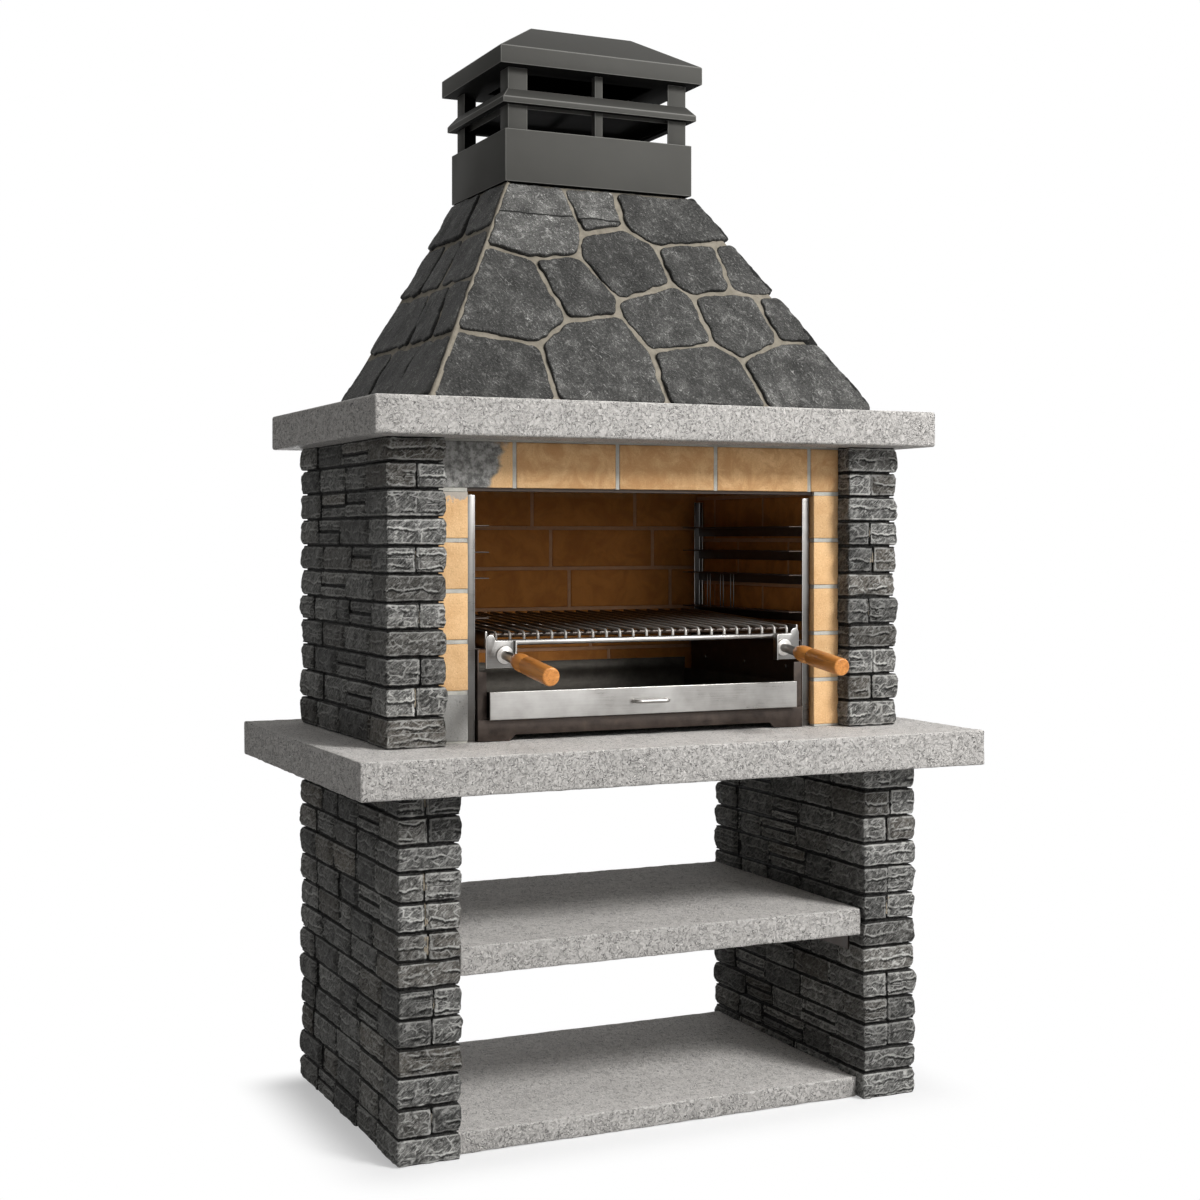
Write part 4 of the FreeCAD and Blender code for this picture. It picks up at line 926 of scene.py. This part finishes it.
def grip_start():
    """Where the grips start, measured along their drooping axis."""
    corners = frame["nodes"]["left_grip"].data.vertices
    return max(v.co.y * math.cos(GRIP_DROOP) + v.co.z * math.sin(GRIP_DROOP) for v in corners)


def wood_look():
    """Varnished turned wood with its grain along the handle, and a line of painted shade at its shoulder."""
    look = Look("turned_wood")
    turn = (-GRIP_DROOP, 0, 0)
    along = look.scaled((1.0, 14.0, 1.0), turn)
    axis = look.scaled((1.0, 1.0, 1.0), turn).part("Y")
    to_shoulder = abs(axis - (grip_start() - GRIP_SHOULDER_FROM_START))
    grain = look.noise(0.0035, 5.0, 0.6, 0.4, along)
    figure = look.noise(0.012, 3.0, 0.5, 0.8, along)
    colour = figure.ramp(
        (0.3, (0.50, 0.180, 0.036)),
        (0.55, (0.66, 0.265, 0.060)),
        (0.75, (0.78, 0.365, 0.105)),
    )
    colour = colour.mix(grain.span(0.48, 0.3, 0.0, 0.65), (0.22, 0.062, 0.014))
    # Painted shade at the shoulder's step
    colour = colour.mix(to_shoulder.span(0.0008, 0.0045, 0.8, 0.0), (0.11, 0.030, 0.007))
    return look.finish(colour, grain.varied(0.30, 0.44), look.bumps((grain, 0.0003)), specular=0.45)


stone_material = stone_look()
slate_material = slate_look()
slab_material = slab_look()
concrete_material = concrete_look()
brick_material = brick_look()
bearing_material = bearing_look()
hearth_mortar_material = mortar_look("hearth_mortar", grey(0.40, 0.12), grey(0.54, 0.12), 0.70)
hood_mortar_material = mortar_look("hood_mortar", (0.175, 0.156, 0.122), (0.285, 0.256, 0.208))
paint_material = paint_look()
dark_steel_material = dark_steel_look()
# Stainless at four levels of painted light: the rack posts and brackets darker as painted shade, the shanks
# lighter as a painted highlight
stainless_material = stainless_look("stainless", 0.38)
post_material = stainless_look("rack_stainless", 0.14)
bracket_material = stainless_look("bracket_stainless", 0.22)
shank_material = stainless_look("shank_stainless", 0.60)
rod_material = rod_look("grill_rods", *ROD_HIGHLIGHT_TO_BURNT)
cross_bar_material = rod_look("grill_cross_bars", *CROSS_BAR_HIGHLIGHT_TO_BURNT)
plain_steel_material = plain_steel_look()
wood_material = wood_look()


# Split stone piers


def shown_sides(low, high, pier_low, pier_high):
    """The sides of a stone that lie in the outside of its pier, as (axis, sign) pairs."""
    sides = []
    for axis in (0, 1):
        if low[axis] - pier_low[axis] < STONE_SHOWN_WITHIN:
            sides.append((axis, -1))
        if pier_high[axis] - high[axis] < STONE_SHOWN_WITHIN:
            sides.append((axis, 1))
    return sides


def stone_lines(low, high, sides, radius):
    """Grid lines of a stone, close where a split face needs them."""
    for axis in range(3):
        fine = axis == 2 or any(side != axis for side, sign in sides)
        step = STONE_GRID if fine else high[axis] - low[axis]
        rims = [radius * (fine or (axis, sign) in sides) for sign in (-1, 1)]
        yield grid_lines(low[axis], high[axis], step, *rims)


def split_faces(flat, out, low, high, sides):
    """Each point's share in split faces, place along them, share in a pier's side, and way to an end."""
    shown, along, across = np.zeros((3, len(flat)))
    to_end = np.full(len(flat), STONE_END_RUN)
    for axis, sign in sides:
        part = np.clip(out[:, axis] * sign, 0, 1) ** 2
        other = 1 - axis
        shown += part
        along += part * flat[:, other]
        across += part * (axis == 0)
        for end, direction in ((low, -1), (high, 1)):
            if (other, direction) not in sides:
                gap = np.abs(flat[:, other] - end[other])
                to_end = np.where(part > STONE_FACE_FROM, np.minimum(to_end, gap), to_end)
    return shown, along, across, to_end


def bed_distance(points, low, high, along, seed):
    """Height above the nearest of a stone's wavy bed lines, and which of its layers each point is in."""
    draw = np.random.default_rng(seed)
    height = high[2] - low[2]
    count = 1 + int(height > BED_DOUBLE_FROM) * int(draw.random() < BED_DOUBLE_SHARE)
    middles = (np.arange(count) + 0.5) / count + draw.uniform(-BED_SHIFT, BED_SHIFT, count)
    line_points = np.outer(along, (1, 0, 0))
    nearest = np.full(len(points), np.inf)
    layer = np.zeros(len(points))
    for number, middle in enumerate(middles):
        wander = layered(line_points, seed, (*BED_WANDER, number), BED_RIPPLE)
        gap = points[:, 2] - (low[2] + middle * height + wander)
        nearest = np.where(np.abs(gap) < np.abs(nearest), gap, nearest)
        layer += smooth_step(gap, -BED_SHARPNESS, BED_SHARPNESS) * draw.choice(BED_STEP_CHOICES)
    return nearest, layer


def chisel_marks(points, along, seed):
    """Slanting facets left by splitting, from -1 to 1."""
    turn = CHISEL_TURN if seed % 2 else -CHISEL_TURN
    run = along * math.cos(turn) + points[:, 2] * math.sin(turn)
    across = points[:, 2] * math.cos(turn) - along * math.sin(turn)
    place = np.stack([run / CHISEL_LENGTH, across / CHISEL_WIDTH, np.zeros(len(run))], axis=1)
    return noise(place, 1.0, seed)


def by_face(depths, across):
    """A depth that differs between a pier's front and its sides."""
    return depths["front"] + (depths["side"] - depths["front"]) * across


def split_stone(low, high, sides, seed):
    """One stone: a rounded block with a split face on each side that shows."""
    draw = np.random.default_rng(seed)
    span = high - low
    radius = min(STONE_ROUNDING * draw.uniform(*STONE_ROUNDING_SPREAD), STONE_ROUNDING_MOST * span.min())
    flat, quads = lattice(list(stone_lines(low, high, sides, radius)))
    chipped = radius * np.clip(1 + layered(flat, seed, STONE_CHIPS), *STONE_CHIP_LIMITS)
    points, out = rounded(flat, low, high, chipped[:, None])
    shown, along, across, to_end = split_faces(flat, out, low, high, sides)
    to_bed = np.minimum(flat[:, 2] - low[2], high[2] - flat[:, 2])
    reach = np.minimum(to_bed, to_end)
    pillow = smooth_step(reach, 0.0, STONE_PILLOW_RUN)
    bed, layer = bed_distance(flat, low, high, along, seed)
    tilts = draw.uniform(-1, 1, 3) * STONE_TILT
    height = STONE_PILLOW * (pillow - STONE_PILLOW_LEVEL)
    height -= STONE_END_DROP * across * (1 - smooth_step(to_end, 0.0, STONE_END_RUN))
    height += ((flat - (low + high) / 2) / span) @ tilts
    height += by_face(BED_STEP, across) * layer * pillow
    height += by_face(CHISEL_DEPTH, across) * chisel_marks(flat, along, seed)
    height += layered(flat, seed, *STONE_LUMPS)
    points = points + out * (height * shown)[:, None]
    edge = np.where(shown > STONE_SHOWN_FROM, reach, STONE_HIDDEN_EDGE)
    return points, quads, {"bed": bed, "edge": edge, "side": across}


def bedding(pier_low, pier_high):
    """The mortar deep in a pier's joints, as one block behind the stones' faces, painted near-black as shade.
    """
    return lattice(np.stack([pier_low + BEDDING_INSET, pier_high - BEDDING_INSET], axis=1))


def pointed_joints(stones, front):
    """The low and high corners of the mortar in some upright joints between two stones of a pier's front."""
    courses = {}
    for low, high in stones:
        if low[1] - front < STONE_SHOWN_WITHIN:
            courses.setdefault(round(low[2], PLACE_DIGITS), []).append((low, high))
    for pair in courses.values():
        if len(pair) == 2 and rng.random() < POINTED_SHARE:
            (low, high), (other_low, other_high) = sorted(pair, key=lambda stone: stone[0][0])
            middle = (high[0] + other_low[0]) / 2
            face = max(low[1], other_low[1]) + POINTING_SET_BACK
            shares = np.array([rng.uniform(*POINTING_FOOT), rng.uniform(*POINTING_HEAD)])
            levels = low[2] + (high[2] - low[2]) * shares
            yield (
                np.array([middle - POINTING_HALF_WIDTH, face, levels[0]]),
                np.array([middle + POINTING_HALF_WIDTH, face + POINTING_DEPTH, levels[1]]),
            )


def stone_pier(node):
    """All the stones of one pier, and the mortar between them, as a piece."""
    parts = MeshParts()
    pier_low, pier_high = box_of(node)
    stones = list(boxes(node))
    for low, high in stones:
        seed = new_seed()
        sides = shown_sides(low, high, pier_low, pier_high)
        points, quads, values = split_stone(low, high, sides, seed)
        points[:, 2] = np.clip(points[:, 2], pier_low[2], pier_high[2])
        tones = dict(tone=rng.random(), brown=rng.random() ** STONE_BROWN_RARITY)
        parts.add(points, quads, pointing=0.0, **tones, **values)
    plain = dict(bed=1.0, side=0.0, tone=0.5, brown=0.0)
    # The bedding takes the painted shade of a hidden edge
    parts.add(*bedding(pier_low, pier_high), pointing=0.0, edge=STONE_HIDDEN_EDGE, **plain)
    for low, high in pointed_joints(stones, pier_low[1]):
        lump = rough_box(low, high, STONE_GRID, POINTING_ROUNDING, new_seed(), POINTING_LUMPS)
        parts.add(*lump, pointing=1.0, edge=1.0, **plain)
    parts.piece("split_" + node, stone_material, "split_stone", node)


for pier in PIERS:
    stone_pier(pier + "_stones")


# Slabs


def slab(node):
    """A cast slab with softened, slightly uneven edges."""
    parts = MeshParts()
    shape = rough_box(*box_of(node), SLAB_GRID, SLAB_ROUNDING, SLAB_SEED, SLAB_LUMPS, SLAB_SUNK, SLAB_WEAR)
    parts.add(*shape)
    parts.piece("cast_" + node, slab_material, "aggregate_slab", node)


for node in ("worktop", "middle_shelf", "base_slab"):
    slab(node)


# Bricks


def rounded_bricks(node, material, slot):
    """The bricks of a node with softened edges and a tone of their own."""
    parts = MeshParts()
    for number, (low, high) in enumerate(boxes(node)):
        brick = rough_box(low, high, BRICK_GRID, BRICK_ROUNDING, BRICK_SEED + number, BRICK_LUMPS, BRICK_SUNK)
        parts.add(*brick, tone=rng.random())
    parts.piece("fired_" + node, material, slot, node)


for node in ("left_firebricks", "right_firebricks", "lintel_bricks", "back_brick_slips"):
    rounded_bricks(node, brick_material, "firebrick")
rounded_bricks("left_foot_block", concrete_material, "concrete")
rounded_bricks("lintel_bearing_block", bearing_material, "concrete")


# Hood


class HoodFace:
    """The outside plane of the hood's cladding on one side, with u across it and v up its slope."""

    def __init__(self, name):
        self.name = name
        self.foot, foot_end = self.ends(HOOD_FOOT)
        head, head_end = self.ends(HOOD_HEAD)
        self.width = np.linalg.norm(foot_end - self.foot)
        self.across = (foot_end - self.foot) / self.width
        rise = head - self.foot
        self.head_start = rise @ self.across
        self.head_end = (head_end - self.foot) @ self.across
        up = rise - self.across * self.head_start
        self.slope = np.linalg.norm(up)
        self.up = up / self.slope
        self.out = np.cross(self.across, self.up)

    def ends(self, level):
        """The face's two corners at the hood's foot or head."""
        ends = HOOD_ENDS[self.name]
        return [np.array([side * level["half"], level[end], level["z"]]) for side, end in ends]

    def flat(self, corners):
        """The (u, v) places of points on the face."""
        return np.stack([(corners - self.foot) @ self.across, (corners - self.foot) @ self.up], axis=1)

    def points(self, places, height):
        """Points at heights above (u, v) places on the face."""
        raised = self.foot + np.outer(places[:, 0], self.across) + np.outer(places[:, 1], self.up)
        return raised + np.outer(height, self.out)


def rounded_outline(corners, radius):
    """A closed outline with its corners rounded off, as points about a step apart."""
    curve = []
    for i, here in enumerate(corners):
        back = corners[i - 1] - here
        ahead = corners[(i + 1) % len(corners)] - here
        cut = min(radius, *(SLATE_CORNER_MOST * np.linalg.norm(way) for way in (back, ahead)))
        start, end = (here + way / np.linalg.norm(way) * cut for way in (back, ahead))
        for t in np.linspace(0, 1, SLATE_CORNER_POINTS):
            curve.append((1 - t) ** 2 * start + 2 * t * (1 - t) * here + t * t * end)
    curve = np.array(curve + curve[:1])
    lengths = np.concatenate([[0], np.cumsum(np.linalg.norm(np.diff(curve, axis=0), axis=1))])
    stops = np.linspace(0, lengths[-1], int(lengths[-1] / SLATE_OUTLINE_STEP) + 1)[:-1]
    return np.stack([np.interp(stops, lengths, curve[:, axis]) for axis in (0, 1)], axis=1)


def inward(outline):
    """The direction into a counter-clockwise outline at each of its points."""
    along = np.roll(outline, -1, axis=0) - np.roll(outline, 1, axis=0)
    along /= np.linalg.norm(along, axis=1, keepdims=True)
    return np.stack([-along[:, 1], along[:, 0]], axis=1)


def signed_area(outline):
    """An outline's area, which is negative where it runs clockwise."""
    ahead = np.roll(outline, -1, axis=0)
    return 0.5 * np.sum(outline[:, 0] * ahead[:, 1] - ahead[:, 0] * outline[:, 1])


def within(places, outline, margin):
    """Which places are inside an outline by at least a margin."""
    inside = np.zeros(len(places), bool)
    near = np.full(len(places), np.inf)
    for start, end in zip(outline, np.roll(outline, -1, axis=0)):
        crosses = (start[1] > places[:, 1]) != (end[1] > places[:, 1])
        rise = end[1] - start[1]
        slant = (end[0] - start[0]) / rise if rise else 0.0
        inside ^= crosses & (places[:, 0] < start[0] + slant * (places[:, 1] - start[1]))
        near = np.minimum(near, np.linalg.norm(places - start, axis=1))
    return inside & (near > margin)


def filled(outline, low, high):
    """Points and faces that fill an outline within a box, and which of the points are the outline's."""
    us, vs = np.meshgrid(*(np.arange(low[axis], high[axis], SLATE_GRID) for axis in (0, 1)))
    us = us + SLATE_GRID / 2 * (np.arange(len(us)) % 2)[:, None]
    grid = np.stack([us.ravel(), vs.ravel()], axis=1)
    grid = grid[within(grid, outline, SLATE_GRID / 2)]
    corners = [Vector(place) for place in np.concatenate([outline, grid])]
    count = len(outline)
    edges = [(i, (i + 1) % count) for i in range(count)]
    result = geometry.delaunay_2d_cdt(corners, edges, [], INSIDE_ONLY, MERGE_WITHIN)
    points, faces, sources = result[0], result[2], result[3]
    found = {source[0]: index for index, source in enumerate(sources) if source}
    return np.array([tuple(point) for point in points]), faces, [found[i] for i in range(count)]


def flat3(places):
    """Flat places as points for noise."""
    return np.column_stack([places, np.zeros(len(places))])


def slate_surface(places, seed):
    """The height of a slate's riven surface: broad waves, thin steps where it flaked, and grain."""
    spots = flat3(places)
    steps = np.clip(layered(spots, seed, FLAKES), *FLAKE_LIMITS)
    flaked = np.floor(steps) + smooth_step(steps - np.floor(steps), *FLAKE_EDGE)
    return FLAKE_HEIGHT * flaked + layered(spots, seed, *SLATE_WAVES)


def reached_out(face, outline):
    """A slate's outline drawn out to the hood's right arris where it ends close to it."""
    arris = face.width + (face.head_end - face.width) * outline[:, 1] / face.slope
    close = arris - outline[:, 0] < ARRIS_REACH
    return np.stack([np.where(close, arris + ARRIS_OVERHANG, outline[:, 0]), outline[:, 1]], axis=1)


def slate_outline(face, corners, seed):
    """A slate's outline on its face, with rounded corners and a ragged edge."""
    outline = face.flat(corners)
    if signed_area(outline) < 0:
        outline = outline[::-1]
    if face.name == "front":
        outline = reached_out(face, outline)
    draw = np.random.default_rng(seed)
    outline = rounded_outline(outline, SLATE_CORNER * draw.uniform(*SLATE_CORNER_SPREAD))
    ragged = layered(flat3(outline), seed, *SLATE_RAGGED) - SLATE_GROWTH
    return outline + inward(outline) * ragged[:, None]


def slate(face, solid, seed, lean, crack_at):
    """One slate: its rim, its riven top and its back. Its foot leans out, and a crack may run across it."""
    shown = [corners for normal, corners in solid if np.dot(normal, face.out) > SLATE_FACING]
    corners = max(shown, key=len)
    depth = float(np.mean((corners - face.foot) @ face.out))
    outline = slate_outline(face, corners, seed)
    low = outline.min(0)
    high = outline.max(0)
    rim = inward(outline) * SLATE_RIM
    top, top_faces, top_ring = filled(outline + rim, low, high)
    rises = slate_surface(top, seed)
    crack = np.full(len(top), FAR_FROM_CRACK)
    if crack_at is not None:
        line = low[1] + crack_at * (high[1] - low[1]) + layered(flat3(top * (1, 0)), seed, CRACK_WANDER)
        crack = top[:, 1] - line
        rises = rises + CRACK_STEP * smooth_step(crack, CRACK_HALF_WIDTH, -CRACK_HALF_WIDTH)
    count = len(outline)
    rim_heights = [rises[top_ring] - drop for drop in SLATE_RIM_DROPS]
    heights = np.concatenate([rises, *rim_heights, np.full(count, -SLATE_SKIRT)])
    places = np.concatenate([top, outline + rim * SLATE_RIM_BEND, outline, outline])
    from_edge = SLATE_RIM * np.array([1.0, SLATE_RIM_BEND, 0.0])
    edge = np.repeat(from_edge, (len(top), count, 2 * count))
    crack = np.concatenate([crack, np.tile(crack[top_ring], 3)])
    rings = [top_ring, *(range(len(top) + k * count, len(top) + (k + 1) * count) for k in range(3))]
    faces = [*top_faces, *walls(rings), rings[-1][::-1]]
    heights += depth + lean * (high[1] - places[:, 1]) / (high[1] - low[1])
    heights[:-count] += SLATE_RAISE[face.name]
    return face.points(places, heights), faces, {"edge": edge, "crack": crack}


def crack_place(name, solid):
    """Where a slate is cracked, as a share of its height. Only two at the top of the front are."""
    middle = corners_of(solid).mean(0)
    for (x, z), share in CRACKS.items():
        if name == "front" and np.hypot(middle[0] - x, middle[2] - z) < CRACK_SEARCH:
            return share
    return None


def slates(name):
    """All the slates on one side of the hood."""
    face = HoodFace(name)
    node = f"hood_{name}_slates"
    parts = MeshParts()
    for solid in solids(node):
        seed = new_seed()
        lean = 0.0 if name == "front" else rng.uniform(*SIDE_SLATE_LEAN)
        crack_at = crack_place(name, solid)
        tone = rng.uniform(*SLATE_TONES) if crack_at is None else CRACKED_TONE
        points, faces, values = slate(face, solid, seed, lean, crack_at)
        parts.add(points, faces, tone=tone, **values)
    parts.piece("riven_" + node, slate_material, "slate", node)


def mortar_sheet(face):
    """A sheet of trowelled mortar behind the slates of one face, closed at its back."""
    sunk = MORTAR_SUNK[face.name]
    rows = int(face.slope / MORTAR_GRID)
    columns = int(face.width / MORTAR_GRID)
    t, s = np.meshgrid(np.linspace(0, 1, rows + 1), np.linspace(0, 1, columns + 1), indexing="ij")
    start = face.head_start * t + MORTAR_START[face.name]
    end = face.width + (face.head_end - face.width) * t
    places = np.stack([(start + (end - start) * s).ravel(), (t * face.slope).ravel()], axis=1)
    edge = np.minimum(np.minimum(s, 1 - s), np.minimum(t, 1 - t)).ravel()
    lumps = layered(flat3(places), MORTAR_SEED, *MORTAR_LUMPS)
    front = face.points(places, lumps * smooth_step(edge, 0.0, MORTAR_EVEN_EDGE) - sunk)
    number = np.arange(len(places)).reshape(rows + 1, columns + 1)
    rim = np.concatenate([number[0, :-1], number[:-1, -1], number[-1, :0:-1], number[:0:-1, 0]])
    back = face.points(places[rim], np.full(len(rim), -sunk - MORTAR_THICK))
    back_ring = range(len(front), len(front) + len(rim))
    faces = [*sheet_quads(number.T), *walls([rim, back_ring]), back_ring[::-1]]
    return np.concatenate([front, back]), faces


mortar = MeshParts()
for side in HOOD_ENDS:
    slates(side)
    mortar.add(*mortar_sheet(HoodFace(side)))
mortar.piece("trowelled_hood_mortar", hood_mortar_material, "mortar", "hood_mortar")


# Metal and wood, with softened edges


def softened(node, material, body, slot, bevel):
    """A copy of a CAD node with its sharp edges bevelled, so that they catch the light."""
    shape = welded(node)
    # The bevelled faces are marked for a painted highlight along the edges
    edge_wear_and_highlight = shape.faces.layers.float.new("edge_wear_and_highlight")
    if bevel:
        sharp = [e for e in shape.edges if len(e.link_faces) == 2 and e.calc_face_angle(0.0) > SMOOTH_ANGLE]
        bevelled = bmesh.ops.bevel(
            shape, geom=sharp, offset=bevel, offset_type="OFFSET", segments=2, profile=0.5,
            affect="EDGES", clamp_overlap=True,
        )
        for face in bevelled["faces"]:
            face[edge_wear_and_highlight] = 1.0
    mesh = bpy.data.meshes.new("finished_" + node)
    shape.to_mesh(mesh)
    shape.free()
    mesh.shade_smooth()
    mesh.set_sharp_from_angle(angle=SMOOTH_ANGLE)
    mesh.materials.append(material)
    place_piece("finished_" + node, mesh, body, slot, node)


for node in ("chimney_collar", "cowl_posts", "cowl_mullions", "cowl_band", "cowl_cap"):
    softened(node, paint_material, "masonry", "chimney_metal", PAINTED_BEVEL)
for node in ("left_side_plate", "right_side_plate", "front_base_rail", "rear_base_rail",
             "left_ledges", "right_ledges", "tray_runners"):
    softened(node, dark_steel_material, "masonry", "dark_steel", SHEET_BEVEL)
for node in ("rack_posts", "rack_stays", "rack_rivets"):
    softened(node, post_material, "masonry", "stainless", SHEET_BEVEL)
for node in ("tray_front_panel", "tray_handle"):
    softened(node, stainless_material, "tray", "stainless", PANEL_BEVEL)
softened("tray_pan", plain_steel_material, "tray", "plain_steel", NO_BEVEL)
softened("grill_rods", rod_material, "grill", "stainless", NO_BEVEL)
softened("grill_cross_bars", cross_bar_material, "grill", "stainless", NO_BEVEL)
for side in ("left", "right"):
    for part in ("grill_side", "handle_bracket"):
        softened(f"{side}_{part}", bracket_material, "grill", "stainless", SHEET_BEVEL)
    softened(side + "_handle_shank", shank_material, "grill", "stainless", SHEET_BEVEL)
    softened(side + "_grip", wood_material, "grill", "turned_wood", NO_BEVEL)
softened("grill_front_bar", stainless_material, "grill", "stainless", SHEET_BEVEL)
softened("mantel", slab_material, "masonry", "aggregate_slab", NO_BEVEL)


# CAD nodes that keep their own shape


def kept(node, material):
    """Gives a CAD node that keeps its own shape its material."""
    slots = frame["nodes"][node].data.materials
    slots.clear()
    slots.append(material)


for pier in PIERS:
    kept(pier + "_core", concrete_material)
for panel in ("hood_front", "hood_left", "hood_right", "hood_back", "hearth_back"):
    kept(panel + "_panel", concrete_material)
for node in ("lintel_bar", "shelf_ledgers", "shelf_anchors"):
    kept(node, dark_steel_material)
kept("hearth_mortar", hearth_mortar_material)


# Studio


def floor_look():
    """A white floor that takes the object's shadow close to it."""
    look = Look("floor")
    seen = look.seen()
    pale = look.noise(0.4, 3.0).ramp((0.3, grey(0.93, 0.0)), (0.7, grey(0.95, 0.0)))
    look.finish(pale.mix(seen.span(0.0, 1.0, 1.0, 0.0), grey(FLOOR_BOUNCE, 0.0)), 0.9, specular=0.0)
    gaps = []
    for name, half, middle in zip("XY", FOOTPRINT_HALF, FOOTPRINT_MIDDLE):
        gaps.append((abs(look.axis(name) - middle) - half).at_least(0.0))
    gap = look.value("CombineXYZ", dict(zip("XY", gaps))).vector("LENGTH", output="Value")
    shadow = gap.span(0.0, SHADOW_REACH, SHADOW_SHARE, 0.0) * look.axis("Y").span(*SHADOW_BACK)
    white = look.value("Emission", {"Color": WHITE, "Strength": 1.0})
    dull = Value(look, look.shader.outputs[0])
    blend = look.value("MixShader", {0: seen - seen * shadow, 1: dull, 2: white})
    look.feed(look.tree.nodes["Material Output"].inputs["Surface"], blend)
    return look.material


def floor():
    mesh = bpy.data.meshes.new("floor")
    corners = [(FLOOR_HALF * x, FLOOR_HALF * y, 0) for x, y in ((-1, -1), (1, -1), (1, 1), (-1, 1))]
    mesh.from_pydata(corners, [], [(0, 1, 2, 3)])
    mesh.materials.append(floor_look())
    placed("floor", mesh)


def world():
    """White behind the object and in its reflections, and a soft grey light, weaker from behind."""
    surroundings = bpy.data.worlds.new("studio")
    surroundings.use_nodes = True
    nodes = Nodes(surroundings.node_tree)
    way = nodes.value("TexCoord", output="Generated").part("Y")
    soft = nodes.value("MapRange", {"Value": way, "To Min": AMBIENT, "To Max": AMBIENT_BEHIND})
    level = nodes.value("MapRange", {"Value": nodes.seen(), "To Min": soft, "To Max": 1.0})
    background = nodes.tree.nodes["Background"].inputs
    nodes.feed(background["Color"], WHITE)
    nodes.feed(background["Strength"], level)
    bpy.context.scene.world = surroundings


def area_light(name, place, size, power):
    lamp = bpy.data.lights.new(name, "AREA")
    lamp.shape = "SQUARE"
    lamp.size = size
    lamp.energy = power
    light = placed(name, lamp)
    light.location = place
    light.rotation_euler = (Vector(LIGHT_AIM) - Vector(place)).to_track_quat("-Z", "Y").to_euler()


def camera():
    lens = bpy.data.cameras.new("camera")
    lens.sensor_width = SENSOR_WIDTH
    lens.lens = CAMERA_LENS
    lens.shift_y = HORIZON_SHIFT
    view = placed("camera", lens)
    view.location = CAMERA_PLACE
    view.rotation_euler = (math.pi / 2, 0, -CAMERA_YAW)
    bpy.context.scene.camera = view


floor()
world()
for name, settings in LIGHTS.items():
    area_light(name, **settings)
camera()
bpy.context.scene.view_settings.view_transform = "Standard"
